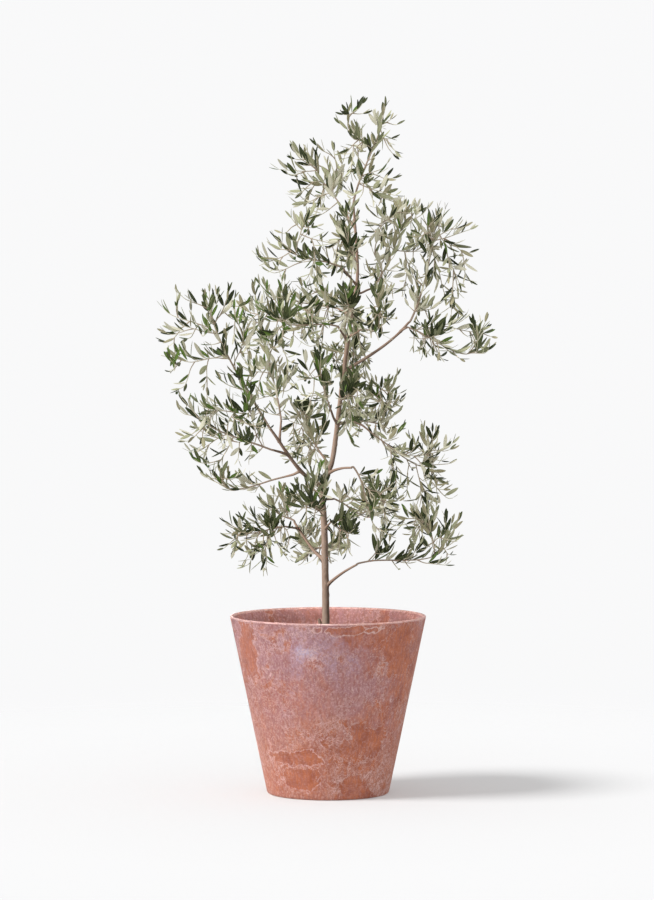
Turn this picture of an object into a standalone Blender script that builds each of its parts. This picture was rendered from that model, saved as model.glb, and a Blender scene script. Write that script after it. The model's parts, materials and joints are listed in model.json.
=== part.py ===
"""A young olive tree in a straight tapered clay pot, standing on the pot's flat underside.

Metres, +Z up. The origin is the middle of the pot's foot, and the front of the tree faces -Y.
Headings are degrees from +X towards +Y, and rises are degrees above the level.
"""

import math
import random
from collections import namedtuple

import bmesh
import bpy
import numpy as np
from mathutils import Matrix, Vector
from mathutils.bvhtree import BVHTree

# Pot
POT_HEIGHT = 0.340
RIM_RADIUS = 0.1885
FOOT_RADIUS = 0.1165
WALL = 0.009
FLOOR = 0.012
FOOT_FILLET = 0.005
INNER_FILLET = 0.012
RIM_ROUND = 0.0025
RIM_FLAT = 0.002
RIM_BEVEL_DEPTH = 0.0075
POT_SIDES = 48

# Compost
SOIL_LEVEL = 0.295
GAP = 0.0003

# Trunk: height above the compost, and the middle's x and y there
TRUNK_FOOT = SOIL_LEVEL + GAP
TRUNK_STATIONS = (
    (0.000, -0.0044, 0.0000),
    (0.100, -0.0048, 0.0000),
    (0.220, -0.0074, -0.0020),
    (0.293, -0.0112, 0.0000),
    (0.335, 0.0064, 0.0020),
    (0.395, 0.0160, 0.0040),
    (0.510, 0.0296, 0.0000),
    (0.626, 0.0458, -0.0060),
    (0.700, 0.0562, -0.0020),
    (0.825, 0.0486, 0.0040),
)
TRUNK_RADII = (0.0071, 0.0066, 0.0060, 0.0048, 0.0042, 0.0036, 0.0030, 0.0021)
ROOT_FLARE = 0.0034
ROOT_FLARE_HEIGHT = 0.011
TRUNK_SIDES = 10
POINTS_PER_STATION = 3

# Boughs: the limb each leaves and where along it, as a share of its length, the place that its
# end comes to, its rises at its two ends, and the radii there
BOUGH_SIDES = 6
BOUGH_STEP = 0.028
Bough = namedtuple("Bough", "name parent share end rises radii")
BOUGHS = (
    Bough("left", "trunk", 0.35, (-0.110, -0.055, 0.700), (20, 50), (0.0042, 0.0026)),
    Bough("left_low", "left", 0.35, (-0.080, 0.020, 0.605), (-15, 0), (0.0026, 0.0020)),
    Bough("left_long", "left", 0.60, (-0.105, -0.080, 0.660), (15, 10), (0.0026, 0.0020)),
    Bough("left_inner", "left", 0.80, (-0.090, 0.015, 0.710), (30, 45), (0.0026, 0.0019)),
    Bough("low_left", "trunk", 0.18, (-0.065, 0.055, 0.515), (20, 45), (0.0032, 0.0021)),
    Bough("droop", "low_left", 0.85, (-0.080, -0.005, 0.510), (5, 5), (0.0021, 0.0017)),
    Bough("low_right", "trunk", 0.12, (0.055, -0.035, 0.440), (40, 25), (0.0030, 0.0019)),
    Bough("arch", "trunk", 0.38, (0.045, -0.050, 0.625), (25, 0), (0.0030, 0.0019)),
    Bough("mid_right", "trunk", 0.50, (0.055, 0.060, 0.710), (0, 5), (0.0031, 0.0021)),
    Bough("right_low", "mid_right", 0.80, (0.080, 0.050, 0.690), (-10, -45), (0.0021, 0.0017)),
    Bough("right", "trunk", 0.62, (0.155, 0.035, 0.900), (30, 50), (0.0032, 0.0022)),
    Bough("right_tip", "right", 0.85, (0.150, -0.015, 0.890), (15, 10), (0.0021, 0.0017)),
    Bough("inner_right", "trunk", 0.70, (0.060, -0.055, 0.885), (10, 15), (0.0024, 0.0017)),
    Bough("upper_right", "trunk", 0.80, (0.085, 0.060, 0.965), (-5, 5), (0.0023, 0.0017)),
    Bough("upper_left", "trunk", 0.95, (0.030, 0.035, 1.115), (40, 45), (0.0019, 0.0016)),
    Bough("left_top", "trunk", 0.82, (0.030, -0.040, 1.000), (25, 30), (0.0022, 0.0017)),
    Bough("centre_left", "trunk", 0.75, (0.020, 0.045, 0.925), (10, 10), (0.0023, 0.0017)),
    Bough("front", "trunk", 0.50, (0.005, -0.045, 0.735), (10, 40), (0.0026, 0.0019)),
    Bough("front_left", "trunk", 0.69, (0.020, -0.050, 0.890), (20, 20), (0.0024, 0.0018)),
    Bough("bottom", "trunk", 0.25, (0.005, -0.030, 0.520), (30, 20), (0.0021, 0.0017)),
    Bough("back", "trunk", 0.40, (-0.015, 0.040, 0.650), (25, 25), (0.0026, 0.0019)),
    Bough("back_right", "trunk", 0.32, (0.010, 0.045, 0.560), (5, 5), (0.0024, 0.0018)),
)

# Foliage masses: the limb each grows on and where along it, the middle and radii of the space
# that it keeps to, and the outermost tips it reaches, its stem's own tip first
Mass = namedtuple("Mass", "name limb share middle radii tips")
MASSES = (
    Mass("left_upper", "left", 1, (-0.225, -0.110, 0.870), (0.100, 0.075, 0.115),
         ((-0.235, -0.090, 0.975), (-0.320, -0.105, 0.875), (-0.265, -0.135, 0.925),
          (-0.290, -0.130, 0.830))),
    Mass("left_low", "left_low", 1, (-0.180, 0.110, 0.605), (0.070, 0.060, 0.045),
         ((-0.245, 0.100, 0.625), (-0.210, 0.135, 0.575))),
    Mass("left_long", "left_long", 1, (-0.205, -0.160, 0.730), (0.085, 0.065, 0.080),
         ((-0.280, -0.165, 0.785), (-0.215, -0.175, 0.665))),
    Mass("left_inner", "left_inner", 1, (-0.115, 0.120, 0.875), (0.065, 0.065, 0.135),
         ((-0.145, 0.130, 0.995), (-0.165, 0.155, 0.945))),
    Mass("low_left", "low_left", 1, (-0.085, 0.115, 0.565), (0.060, 0.060, 0.060),
         ((-0.125, 0.140, 0.585),)),
    Mass("droop", "droop", 1, (-0.135, -0.085, 0.505), (0.070, 0.060, 0.065),
         ((-0.200, -0.120, 0.555), (-0.190, -0.125, 0.505), (-0.130, -0.090, 0.450))),
    Mass("low_right", "low_right", 1, (0.175, -0.090, 0.510), (0.080, 0.065, 0.060),
         ((0.250, -0.095, 0.515), (0.205, -0.085, 0.460), (0.190, -0.090, 0.560),
          (0.140, -0.100, 0.450))),
    Mass("arch", "arch", 1, (0.115, -0.140, 0.555), (0.050, 0.060, 0.075),
         ((0.135, -0.155, 0.525),)),
    Mass("mid_right", "mid_right", 1, (0.100, 0.140, 0.745), (0.060, 0.065, 0.070),
         ((0.140, 0.160, 0.755), (0.120, 0.135, 0.800))),
    Mass("right_low", "right_low", 1, (0.185, 0.065, 0.625), (0.075, 0.065, 0.080),
         ((0.250, 0.070, 0.655), (0.205, 0.085, 0.695), (0.225, 0.060, 0.580))),
    Mass("right_top", "right", 1, (0.210, 0.060, 1.015), (0.070, 0.075, 0.120),
         ((0.210, 0.045, 1.130), (0.265, 0.070, 1.105), (0.275, 0.050, 1.010),
          (0.245, 0.070, 0.925))),
    Mass("right_tip", "right_tip", 1, (0.235, -0.095, 0.880), (0.085, 0.060, 0.050),
         ((0.320, -0.105, 0.880), (0.290, -0.085, 0.905), (0.235, -0.130, 0.850))),
    Mass("inner_right", "inner_right", 1, (0.095, -0.145, 0.925), (0.045, 0.060, 0.085),
         ((0.115, -0.160, 0.940),)),
    Mass("upper_right", "upper_right", 1, (0.135, 0.145, 1.055), (0.070, 0.075, 0.120),
         ((0.155, 0.135, 1.150), (0.200, 0.160, 1.075))),
    Mass("top", "trunk", 1, (0.075, 0.000, 1.225), (0.065, 0.075, 0.115),
         ((0.110, -0.015, 1.335), (0.030, 0.020, 1.305), (0.125, -0.040, 1.175))),
    Mass("upper_left", "upper_left", 1, (-0.025, 0.080, 1.175), (0.065, 0.070, 0.085),
         ((-0.040, 0.075, 1.255), (-0.085, 0.085, 1.220))),
    Mass("left_top", "left_top", 1, (-0.040, -0.110, 1.030), (0.075, 0.070, 0.090),
         ((-0.105, -0.125, 1.090), (-0.045, -0.115, 1.120), (-0.120, -0.110, 1.035))),
    Mass("centre_left", "centre_left", 1, (-0.050, 0.140, 0.930), (0.080, 0.065, 0.090),
         ((-0.120, 0.145, 1.005),)),
    Mass("front", "front", 1, (-0.015, -0.135, 0.795), (0.050, 0.060, 0.095),
         ((-0.020, -0.140, 0.865),)),
    Mass("front_left", "front_left", 1, (-0.065, -0.145, 0.920), (0.080, 0.060, 0.075),
         ((-0.130, -0.160, 0.955),)),
    Mass("bottom", "bottom", 1, (0.040, -0.115, 0.515), (0.045, 0.050, 0.060),
         ((0.050, -0.130, 0.545), (0.040, -0.115, 0.450), (-0.010, -0.090, 0.450))),
    Mass("back", "back", 1, (-0.045, 0.135, 0.695), (0.055, 0.065, 0.085),
         ((-0.055, 0.150, 0.765),)),
    Mass("back_right", "back_right", 1, (0.080, 0.140, 0.560), (0.060, 0.060, 0.065),
         ((0.125, 0.160, 0.560),)),
    Mass("mid_front", "trunk", 0.55, (0.040, -0.115, 0.775), (0.045, 0.060, 0.080),
         ((0.050, -0.150, 0.835),)),
    Mass("upper_front", "trunk", 0.87, (0.035, -0.090, 1.050), (0.045, 0.055, 0.085),
         ((0.030, -0.115, 1.110),)),
    Mass("upper_back", "trunk", 0.92, (0.020, 0.085, 1.065), (0.045, 0.055, 0.085),
         ((0.010, 0.110, 1.125),)),
    Mass("mid_back", "trunk", 0.65, (0.040, 0.110, 0.865), (0.045, 0.060, 0.090),
         ((0.055, 0.140, 0.930),)),
    Mass("centre_front", "trunk", 0.77, (0.040, -0.100, 0.935), (0.050, 0.055, 0.080),
         ((0.030, -0.135, 0.995),)),
    Mass("low_front", "trunk", 0.28, (-0.030, -0.110, 0.575), (0.050, 0.055, 0.070),
         ((-0.040, -0.140, 0.630),)),
    Mass("low_back", "trunk", 0.21, (-0.030, 0.110, 0.485), (0.065, 0.055, 0.055),
         ((-0.060, 0.145, 0.505), (-0.075, 0.100, 0.435))),
)

# How a mass branches
SEED = 3
TIP_SPREAD = 0.060
TIP_TRIES = 60
TIP_DEPTHS = (0.60, 1.10)
MOST_SHOOTS = 4
LEAST_PIECES = 2
STEM_STARTS = 14
STEM_STARTS_END = 0.9
SHOOT_STARTS = (0.3, 0.5, 0.7)
TURN_COST = 1.7
KEEPS_AHEAD = 0.7
LEAVING_PULL = 0.6
ARRIVING_PULL = 0.8
BARE_FOOT = 0.018
BARE_SHOOT_FOOT = 0.011
UPTURN = 0.35
TWIG_STEP = 0.030
TWIG_RADII = (0.0014, 0.0009)
STEM_FIT = 0.95
STEM_END_RADIUS = 0.0011
SIDE_STEM_RADIUS = 0.0017
TWIG_SIDES = 3
TWIG_CLEARANCE = 0.0020
STRETCH_SAMPLES = (0.34, 0.67, 1.0)
SPACE_REACH = 1.45
SPACE_MARGIN = 0.015

# Leaves and fruit, in opposite pairs that turn a quarter from one pair to the next
LEAF_LENGTH = 0.060
LEAF_WIDTH = 0.019
LEAF_THICKNESS = 0.0012
LEAF_WIDEST = 0.45
LEAF_ROOT_OFFSET = 0.0002
TIP_INSET = 0.0015
LEAF_SHORTEST = 0.80
LEAF_ANGLES = (32, 58)
TIP_LEAF_ANGLE = 3
LEAF_TURNS = (0.0, 0.6, -0.6)
ACROSS_GUIDE = Vector((0.31, 0.17, 0.93))
LEAF_LIFT = 0.35
LEAF_FACING = (0.5, 1.0, 0.3)
LEAF_CLEARANCE = 0.0010
LEAF_FREE_FROM = 0.15
LEAF_NEAR_TIP = 0.7
PAIR_SPACING = 0.029
TIP_OVERHANG = 0.95 * LEAF_LENGTH
FRUITING = ("upper_right", "inner_right", "mid_right", "back", "front", "left_long")
FRUIT_PER_MASS = 1
FRUIT_RADIUS = 0.0032
FRUIT_STRETCH = 1.35
FRUIT_DROP = 0.0039


def blend(values, share):
    """The value at this share of the way along an evenly spaced run of values."""
    place = share * (len(values) - 1)
    index = min(int(place), len(values) - 2)
    return values[index] + (values[index + 1] - values[index]) * (place - index)


def aim(heading, rise):
    heading = math.radians(heading)
    rise = math.radians(rise)
    level = math.cos(rise)
    return Vector((level * math.cos(heading), level * math.sin(heading), math.sin(rise)))


def curve(start, leaving, end, arriving, step):
    """The points of a smooth curve that sets out and comes in along the two given runs."""
    count = max(LEAST_PIECES, round((end - start).length / step))
    points = []
    for index in range(count + 1):
        t = index / count
        points.append(
            start * (2 * t**3 - 3 * t**2 + 1) + leaving * (t**3 - 2 * t**2 + t)
            + end * (3 * t**2 - 2 * t**3) + arriving * (t**3 - t**2)
        )
    return points


def smooth_through(stations, count):
    """Points of a smooth curve through the stations, with count of them to each stretch."""
    last = len(stations) - 1
    points = []
    for index in range(last):
        a, b, c, d = (stations[min(max(index + k, 0), last)] for k in (-1, 0, 1, 2))
        for part in range(count):
            t = part / count
            points.append(
                (2 * b + (c - a) * t + (2 * a - 5 * b + 4 * c - d) * t**2
                 + (3 * b - a - 3 * c + d) * t**3) / 2
            )
    return points + [stations[last]]


def lengths_along(points):
    lengths = [0.0]
    for start, end in zip(points, points[1:]):
        lengths.append(lengths[-1] + (end - start).length)
    return lengths


def point_at(points, share):
    """The point at this share of a path's length, and the way the path runs there."""
    lengths = lengths_along(points)
    wanted = share * lengths[-1]
    for index in range(len(points) - 1):
        if wanted <= lengths[index + 1] or index == len(points) - 2:
            run = points[index + 1] - points[index]
            return points[index] + run.normalized() * (wanted - lengths[index]), run.normalized()


def new_material(name, colour, roughness):
    material = bpy.data.materials.new(name)
    material.use_nodes = True
    shader = material.node_tree.nodes["Principled BSDF"]
    shader.inputs["Base Color"].default_value = (*colour, 1.0)
    shader.inputs["Roughness"].default_value = roughness
    shader.inputs["Metallic"].default_value = 0.0
    return material


def new_object(name, bm, material, collection=None):
    bmesh.ops.recalc_face_normals(bm, faces=bm.faces)
    mesh = bpy.data.meshes.new(name)
    bm.to_mesh(mesh)
    bm.free()
    mesh.materials.append(material)
    obj = bpy.data.objects.new(name, mesh)
    (collection or bpy.context.scene.collection).objects.link(obj)
    return obj


def shade_round(obj, degrees):
    obj.data.shade_smooth()
    obj.data.set_sharp_from_angle(angle=math.radians(degrees))


def turned(name, profile, material):
    """A solid turned about Z from a profile that starts and ends on the axis."""
    bm = bmesh.new()
    verts = [bm.verts.new((radius, 0.0, height)) for radius, height in profile]
    edges = [bm.edges.new(pair) for pair in zip(verts, verts[1:])]
    bmesh.ops.spin(
        bm, geom=verts + edges, cent=(0, 0, 0), axis=(0, 0, 1), dvec=(0, 0, 0),
        angle=math.tau, steps=POT_SIDES, use_merge=True, use_duplicate=False,
    )
    bmesh.ops.remove_doubles(bm, verts=bm.verts, dist=1e-6)
    obj = new_object(name, bm, material)
    shade_round(obj, 30)
    return obj


def corner_arc(centre, radius, from_degrees, to_degrees, count):
    """Points of an arc in the profile's own plane."""
    points = []
    for index in range(count + 1):
        angle = math.radians(from_degrees + (to_degrees - from_degrees) * index / count)
        points.append((centre[0] + radius * math.cos(angle), centre[1] + radius * math.sin(angle)))
    return points


def outer_radius(height):
    return FOOT_RADIUS + (RIM_RADIUS - FOOT_RADIUS) * height / POT_HEIGHT


def wall_lean():
    return math.degrees(math.atan2(RIM_RADIUS - FOOT_RADIUS, POT_HEIGHT))


def inner_profile(shrink, top):
    """The inside of the pot from the axis up to a height, drawn in by a margin."""
    lean = wall_lean()
    floor = FLOOR + shrink
    inset = (WALL + shrink) / math.cos(math.radians(lean))
    fillet = INNER_FILLET - shrink
    middle_height = floor + fillet
    middle_radius = outer_radius(middle_height) - inset - fillet / math.cos(math.radians(lean))
    arc = corner_arc((middle_radius, middle_height), fillet, -90, -lean, 2)
    return [(0.0, floor)] + arc + [(outer_radius(top) - inset, top)]


def make_pot(material):
    lean = wall_lean()
    slant = math.cos(math.radians(lean))
    foot_middle = (outer_radius(FOOT_FILLET) - FOOT_FILLET / slant, FOOT_FILLET)
    rim_middle_height = POT_HEIGHT - RIM_ROUND
    rim_middle = (outer_radius(rim_middle_height) - RIM_ROUND / slant, rim_middle_height)
    bevel_top = rim_middle[0] - RIM_FLAT
    bevel_foot = POT_HEIGHT - RIM_BEVEL_DEPTH
    profile = [(0.0, 0.0)]
    profile += corner_arc(foot_middle, FOOT_FILLET, -90, -lean, 2)
    profile += corner_arc(rim_middle, RIM_ROUND, -lean, 90, 2)
    profile += [(bevel_top, POT_HEIGHT)]
    profile += reversed(inner_profile(0.0, bevel_foot))
    return turned("pot", profile, material)


def make_soil(material):
    profile = inner_profile(GAP, SOIL_LEVEL)
    return turned("soil", profile + [(0.0, SOIL_LEVEL)], material)


def tube(points, radii, sides):
    """A closed tapering limb with flat ends, its rings square to its path."""
    bm = bmesh.new()
    rings = []
    across = Vector((1.0, 0.0, 0.0))
    for index, point in enumerate(points):
        ahead = points[min(index + 1, len(points) - 1)] - points[max(index - 1, 0)]
        ahead.normalize()
        across = across - ahead * across.dot(ahead)
        if across.length < 0.1:
            across = ahead.orthogonal()
        across.normalize()
        beside = ahead.cross(across)
        ring = []
        for side in range(sides):
            angle = math.tau * side / sides
            offset = across * math.cos(angle) + beside * math.sin(angle)
            ring.append(bm.verts.new(point + offset * radii[index]))
        rings.append(ring)
    for low, high in zip(rings, rings[1:]):
        for side in range(sides):
            after = (side + 1) % sides
            bm.faces.new((low[side], low[after], high[after], high[side]))
    bm.faces.new(reversed(rings[0]))
    bm.faces.new(rings[-1])
    return bm


def taper(points, radii):
    """The radius at each point, from the radii given evenly along the path."""
    lengths = lengths_along(points)
    return [blend(radii, length / lengths[-1]) for length in lengths]


def trunk_path():
    stations = [Vector((x, y, TRUNK_FOOT + height)) for height, x, y in TRUNK_STATIONS]
    points = smooth_through(stations, POINTS_PER_STATION)
    flare_foot = [points[0] + (points[1] - points[0]) * share for share in (0.0, 0.25, 0.6)]
    points = flare_foot + points[1:]
    radii = taper(points, TRUNK_RADII)
    for index, point in enumerate(points):
        radii[index] += ROOT_FLARE * math.exp((TRUNK_FOOT - point.z) / ROOT_FLARE_HEIGHT)
    return points, radii


def bough_path(bough, start):
    """A bough that runs straight out to its end, and rises as it is given to on the way."""
    run = Vector(bough.end) - start
    heading = math.degrees(math.atan2(run.y, run.x))
    leaving, arriving = (aim(heading, rise) * run.length for rise in bough.rises)
    return curve(start, leaving, Vector(bough.end), arriving, BOUGH_STEP)


def limb_paths():
    """Each limb's points and radii by name. A bough starts on the middle line of its parent."""
    limbs = {"trunk": trunk_path()}
    for bough in BOUGHS:
        start, _ = point_at(limbs[bough.parent][0], bough.share)
        points = bough_path(bough, start)
        limbs[bough.name] = points, taper(points, bough.radii)
    return limbs


def make_limbs(limbs, material):
    """The trunk, and the boughs cut to fit against the limb that each one leaves. It returns
    the cutters by limb, each a little wider than its limb."""
    solid = new_object("trunk", tube(*limbs["trunk"], TRUNK_SIDES), material)
    shade_round(solid, 50)
    cutters = {}
    for bough in BOUGHS:
        if bough.parent not in cutters:
            points, radii = limbs[bough.parent]
            sides = TRUNK_SIDES if bough.parent == "trunk" else BOUGH_SIDES
            wider = [radius + GAP / math.cos(math.pi / sides) for radius in radii]
            cutter = new_object(f"cutter_{bough.parent}", tube(points, wider, sides), material)
            cutter.hide_render = True
            cutter.display_type = "WIRE"
            cutters[bough.parent] = cutter
        solid = new_object(f"bough_{bough.name}", tube(*limbs[bough.name], BOUGH_SIDES), material)
        cut = solid.modifiers.new("Fit to parent", "BOOLEAN")
        cut.operation = "DIFFERENCE"
        cut.object = cutters[bough.parent]
        shade_round(solid, 50)
    return cutters


class Surfaces:
    """The surfaces that new growth keeps off."""

    def __init__(self):
        self.trees = []

    def add(self, bm):
        self.trees.append(BVHTree.FromBMesh(bm))
        bm.free()

    def touch(self, bm):
        tree = BVHTree.FromBMesh(bm)
        bm.free()
        return any(tree.overlap(other) for other in self.trees)


class Space:
    """The part of the crown that a mass keeps to: what lies nearer to its middle than to any
    other mass's, measured against each one's radii."""

    middles = np.array([mass.middle for mass in MASSES])
    radii = np.array([mass.radii for mass in MASSES])

    def __init__(self, mass):
        self.index = MASSES.index(mass)

    def depths(self, points):
        points = np.array([tuple(point) for point in points])[:, None, :]
        return np.sqrt((((points - self.middles) / self.radii) ** 2).sum(2))

    def holds(self, points):
        depths = self.depths(points)
        own = depths[:, self.index].copy()
        depths[:, self.index] = math.inf
        return bool(((own < SPACE_REACH) & (own + SPACE_MARGIN < depths.min(1))).all())


def spread_tips(mass, space, stem, rng):
    """The tips of a mass's shoots: its outermost ones, then more that fill its space evenly."""
    tips = [Vector(tip) for tip in mass.tips[1:]]
    while len(tips) < MOST_SHOOTS:
        best, best_apart = None, 0.0
        for _ in range(TIP_TRIES):
            way = Vector((rng.gauss(0, 1), rng.gauss(0, 1), rng.gauss(0, 1))).normalized()
            depth = rng.uniform(*TIP_DEPTHS)
            tip = Vector(m + r * w * depth for m, r, w in zip(mass.middle, mass.radii, way))
            if not space.holds([tip]):
                continue
            apart = min((tip - other).length for other in tips + stem)
            if apart > best_apart:
                best, best_apart = tip, apart
        if best_apart < TIP_SPREAD:
            break
        tips.append(best)
    return tips


def best_start(tip, wood):
    """The place on the wood that a shoot to this tip leaves most easily going forward."""
    best, least = None, math.inf
    for point, ahead, room in wood:
        to_tip = tip - point
        if to_tip.length < TWIG_STEP or not room:
            continue
        effort = to_tip.length * (TURN_COST - ahead.dot(to_tip.normalized()))
        if effort < least:
            best, least = (point, ahead), effort
    return best


def shoot_path(start, ahead, tip, overhang):
    """A curve that leaves its parent forward, and turns up a little as it comes to an overhang's
    length short of its tip."""
    to_tip = tip - start
    arriving = (to_tip.normalized() + Vector((0, 0, UPTURN))).normalized()
    end = tip - arriving * min(overhang, to_tip.length * 0.5)
    reach = (end - start).length
    leaving = (ahead * KEEPS_AHEAD + (end - start).normalized()) * reach * LEAVING_PULL
    return curve(start, leaving, end, arriving * reach * ARRIVING_PULL, TWIG_STEP)


def along(path, spacing):
    """Points and directions at even spacing back from just inside a path's tip."""
    total = lengths_along(path)[-1]
    count = int((total - TIP_INSET) / spacing) + 1
    return [point_at(path, 1 - (TIP_INSET + k * spacing) / total) for k in range(count)]


def clear_stretch(path, space, limbs):
    """As much of a path from its start as stays in the space and off the limbs."""
    kept = [path[0]]
    for start, end in zip(path, path[1:]):
        ahead = [start.lerp(end, share) for share in STRETCH_SAMPLES]
        guard = tube([start, end], [TWIG_RADII[0] + TWIG_CLEARANCE] * 2, TWIG_SIDES)
        if not space.holds(ahead) or limbs.touch(guard):
            break
        kept.append(end)
    return kept


def blade(root, tip, facing, width, thickness):
    """A leaf of eight faces that comes to a point at its root and its tip."""
    way = (tip - root).normalized()
    side = way.cross(facing).normalized()
    face = side.cross(way)
    widest = root.lerp(tip, LEAF_WIDEST)
    across = side * (width / 2)
    through = face * (thickness / 2)
    bm = bmesh.new()
    ends = [bm.verts.new(root), bm.verts.new(tip)]
    rim = [bm.verts.new(widest + offset) for offset in (across, through, -across, -through)]
    for index in range(4):
        after = rim[(index + 1) % 4]
        bm.faces.new((ends[0], rim[index], after))
        bm.faces.new((ends[1], after, rim[index]))
    return bm


def fruit_solid(middle):
    bm = bmesh.new()
    stretch = Matrix.Diagonal((1.0, 1.0, FRUIT_STRETCH, 1.0))
    bmesh.ops.create_uvsphere(
        bm, u_segments=6, v_segments=5, radius=FRUIT_RADIUS,
        matrix=Matrix.Translation(middle) @ stretch,
    )
    return bm


def leaf_way(ahead, turn, angle):
    """The way that a leaf points from its twig."""
    across = ahead.cross(ACROSS_GUIDE).normalized()
    across.rotate(Matrix.Rotation(turn, 3, ahead))
    angle = math.radians(angle)
    lifted = across + Vector((0, 0, LEAF_LIFT))
    return (ahead * math.cos(angle) + lifted * math.sin(angle)).normalized()


def stem_foot(mass, limbs):
    """Where a mass's stem starts, which way, and how thick: just off its limb's tip, or on the
    limb's middle line, which union then cuts back to its side."""
    points, radii = limbs[mass.limb]
    point, along_limb = point_at(points, mass.share)
    if mass.share == 1:
        return point + along_limb * GAP, along_limb, radii[-1] * STEM_FIT
    return point, (Vector(mass.middle) - point).normalized(), SIDE_STEM_RADIUS


def grow_twigs(mass, limbs, space, surfaces, rng):
    """The paths and radii of a mass's stem and shoots."""
    foot, ahead, foot_radius = stem_foot(mass, limbs)
    stem = [foot] + shoot_path(
        foot + ahead * BARE_FOOT / 3, ahead, Vector(mass.tips[0]), TIP_OVERHANG
    )
    twigs = [(stem, taper(stem, (foot_radius, STEM_END_RADIUS)))]
    bare = BARE_FOOT / lengths_along(stem)[-1]
    shares = np.linspace(0, STEM_STARTS_END, STEM_STARTS)
    wood = [(*point_at(stem, share), share > bare) for share in shares]
    for tip in spread_tips(mass, space, stem, rng):
        start, ahead = best_start(tip, wood)
        path = clear_stretch(shoot_path(start, ahead, tip, TIP_OVERHANG), space, surfaces)
        if lengths_along(path)[-1] < TWIG_STEP / 2:
            continue
        twigs.append((path, taper(path, TWIG_RADII)))
        wood += [(*point_at(path, share), True) for share in SHOOT_STARTS]
    return twigs


def fitting_leaf(point, ahead, turn, angle, length, space, surfaces, rng):
    """A leaf's root, tip and facing where one fits, or None."""
    facing = Vector((rng.gauss(0, LEAF_FACING[0]), rng.gauss(0, LEAF_FACING[1]), LEAF_FACING[2]))
    for change in LEAF_TURNS:
        way = leaf_way(ahead, turn + change, angle)
        free = point + way * (length * LEAF_FREE_FROM)
        tip = point + way * length
        guard = blade(
            free, tip + way * LEAF_CLEARANCE, facing,
            LEAF_WIDTH + 2 * LEAF_CLEARANCE, LEAF_THICKNESS + 2 * LEAF_CLEARANCE,
        )
        corners = [vert.co for vert in guard.verts] + [free.lerp(tip, LEAF_NEAR_TIP)]
        if space.holds(corners) and not surfaces.touch(guard):
            return point + way * LEAF_ROOT_OFFSET, tip, facing
    return None


def place_leaves(twigs, space, surfaces, rng):
    """The leaves that fit along the twigs: one at each tip, then pairs back from it."""
    for path, radii in twigs:
        surfaces.add(tube(path, radii, TWIG_SIDES))
    leaves = []
    for path, _ in twigs:
        first_turn = rng.uniform(0, math.pi)
        for index, (point, ahead) in enumerate(along(path, PAIR_SPACING)):
            if (point - path[0]).length < BARE_SHOOT_FOOT:
                continue
            for side in (0, math.pi) if index else (0,):
                turn = first_turn + index * math.pi / 2 + side
                angle, length = TIP_LEAF_ANGLE, LEAF_LENGTH
                if index:
                    angle = rng.uniform(*LEAF_ANGLES)
                    length *= rng.uniform(LEAF_SHORTEST, 1.0)
                leaf = fitting_leaf(point, ahead, turn, angle, length, space, surfaces, rng)
                if leaf:
                    leaves.append(leaf)
                    surfaces.add(blade(*leaf, LEAF_WIDTH, LEAF_THICKNESS))
    return leaves


def largest_shell(mesh):
    """Leaves only the biggest closed shell of a mesh, so that no scrap or sealed hollow stays."""
    bm = bmesh.new()
    bm.from_mesh(mesh)
    waiting = set(bm.faces)
    shells = []
    while waiting:
        shell = [waiting.pop()]
        for face in shell:
            for edge in face.edges:
                for beside in edge.link_faces:
                    if beside in waiting:
                        waiting.remove(beside)
                        shell.append(beside)
        shells.append(shell)
    shells.sort(key=len)
    for shell in shells[:-1]:
        bmesh.ops.delete(bm, geom=shell, context="FACES")
    bmesh.ops.triangulate(bm, faces=bm.faces)
    bm.to_mesh(mesh)
    bm.free()


def union(name, solids, material, cutter):
    """One solid from a mass's stem, its first bmesh, and everything that grows on it, cut back
    by the cutter if there is one."""
    pieces = bpy.data.collections.new("pieces")
    bpy.context.scene.collection.children.link(pieces)
    stem = new_object(name, solids[0], material)
    for bm in solids[1:]:
        new_object("piece", bm, material, pieces)
    join = stem.modifiers.new("Join", "BOOLEAN")
    join.operation = "UNION"
    join.operand_type = "COLLECTION"
    join.collection = pieces
    if cutter:
        cut = stem.modifiers.new("Fit to limb", "BOOLEAN")
        cut.operation = "DIFFERENCE"
        cut.object = cutter
    graph = bpy.context.evaluated_depsgraph_get()
    joined = bpy.data.meshes.new_from_object(stem.evaluated_get(graph))
    joined.name = name
    stem.modifiers.clear()
    stem.data = joined
    for piece in list(pieces.objects):
        bpy.data.objects.remove(piece)
    bpy.data.collections.remove(pieces)
    largest_shell(joined)


def make_mass(mass, limbs, cutters, material):
    rng = random.Random(f"{SEED} {mass.name}")
    space = Space(mass)
    surfaces = Surfaces()
    for points, radii in limbs.values():
        surfaces.add(tube(points, radii, BOUGH_SIDES))
    twigs = grow_twigs(mass, limbs, space, surfaces, rng)
    leaves = place_leaves(twigs, space, surfaces, rng)
    solids = [tube(points, radii, TWIG_SIDES) for points, radii in twigs]
    solids += [blade(*leaf, LEAF_WIDTH, LEAF_THICKNESS) for leaf in leaves]
    if mass.name in FRUITING:
        for root, _, _ in rng.sample(leaves, FRUIT_PER_MASS):
            solids.append(fruit_solid(root - Vector((0, 0, FRUIT_DROP))))
    cutter = cutters[mass.limb] if mass.share < 1 else None
    union(f"foliage_{mass.name}", solids, material, cutter)


def main():
    for obj in list(bpy.data.objects):
        bpy.data.objects.remove(obj)
    clay = new_material("Fired clay", (0.47, 0.22, 0.15), 0.75)
    compost = new_material("Compost", (0.05, 0.032, 0.02), 0.95)
    bark = new_material("Olive bark", (0.30, 0.22, 0.17), 0.85)
    leaf = new_material("Olive leaf", (0.20, 0.22, 0.14), 0.5)
    make_pot(clay)
    make_soil(compost)
    limbs = limb_paths()
    cutters = make_limbs(limbs, bark)
    for mass in MASSES:
        make_mass(mass, limbs, cutters, leaf)


main()
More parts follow.
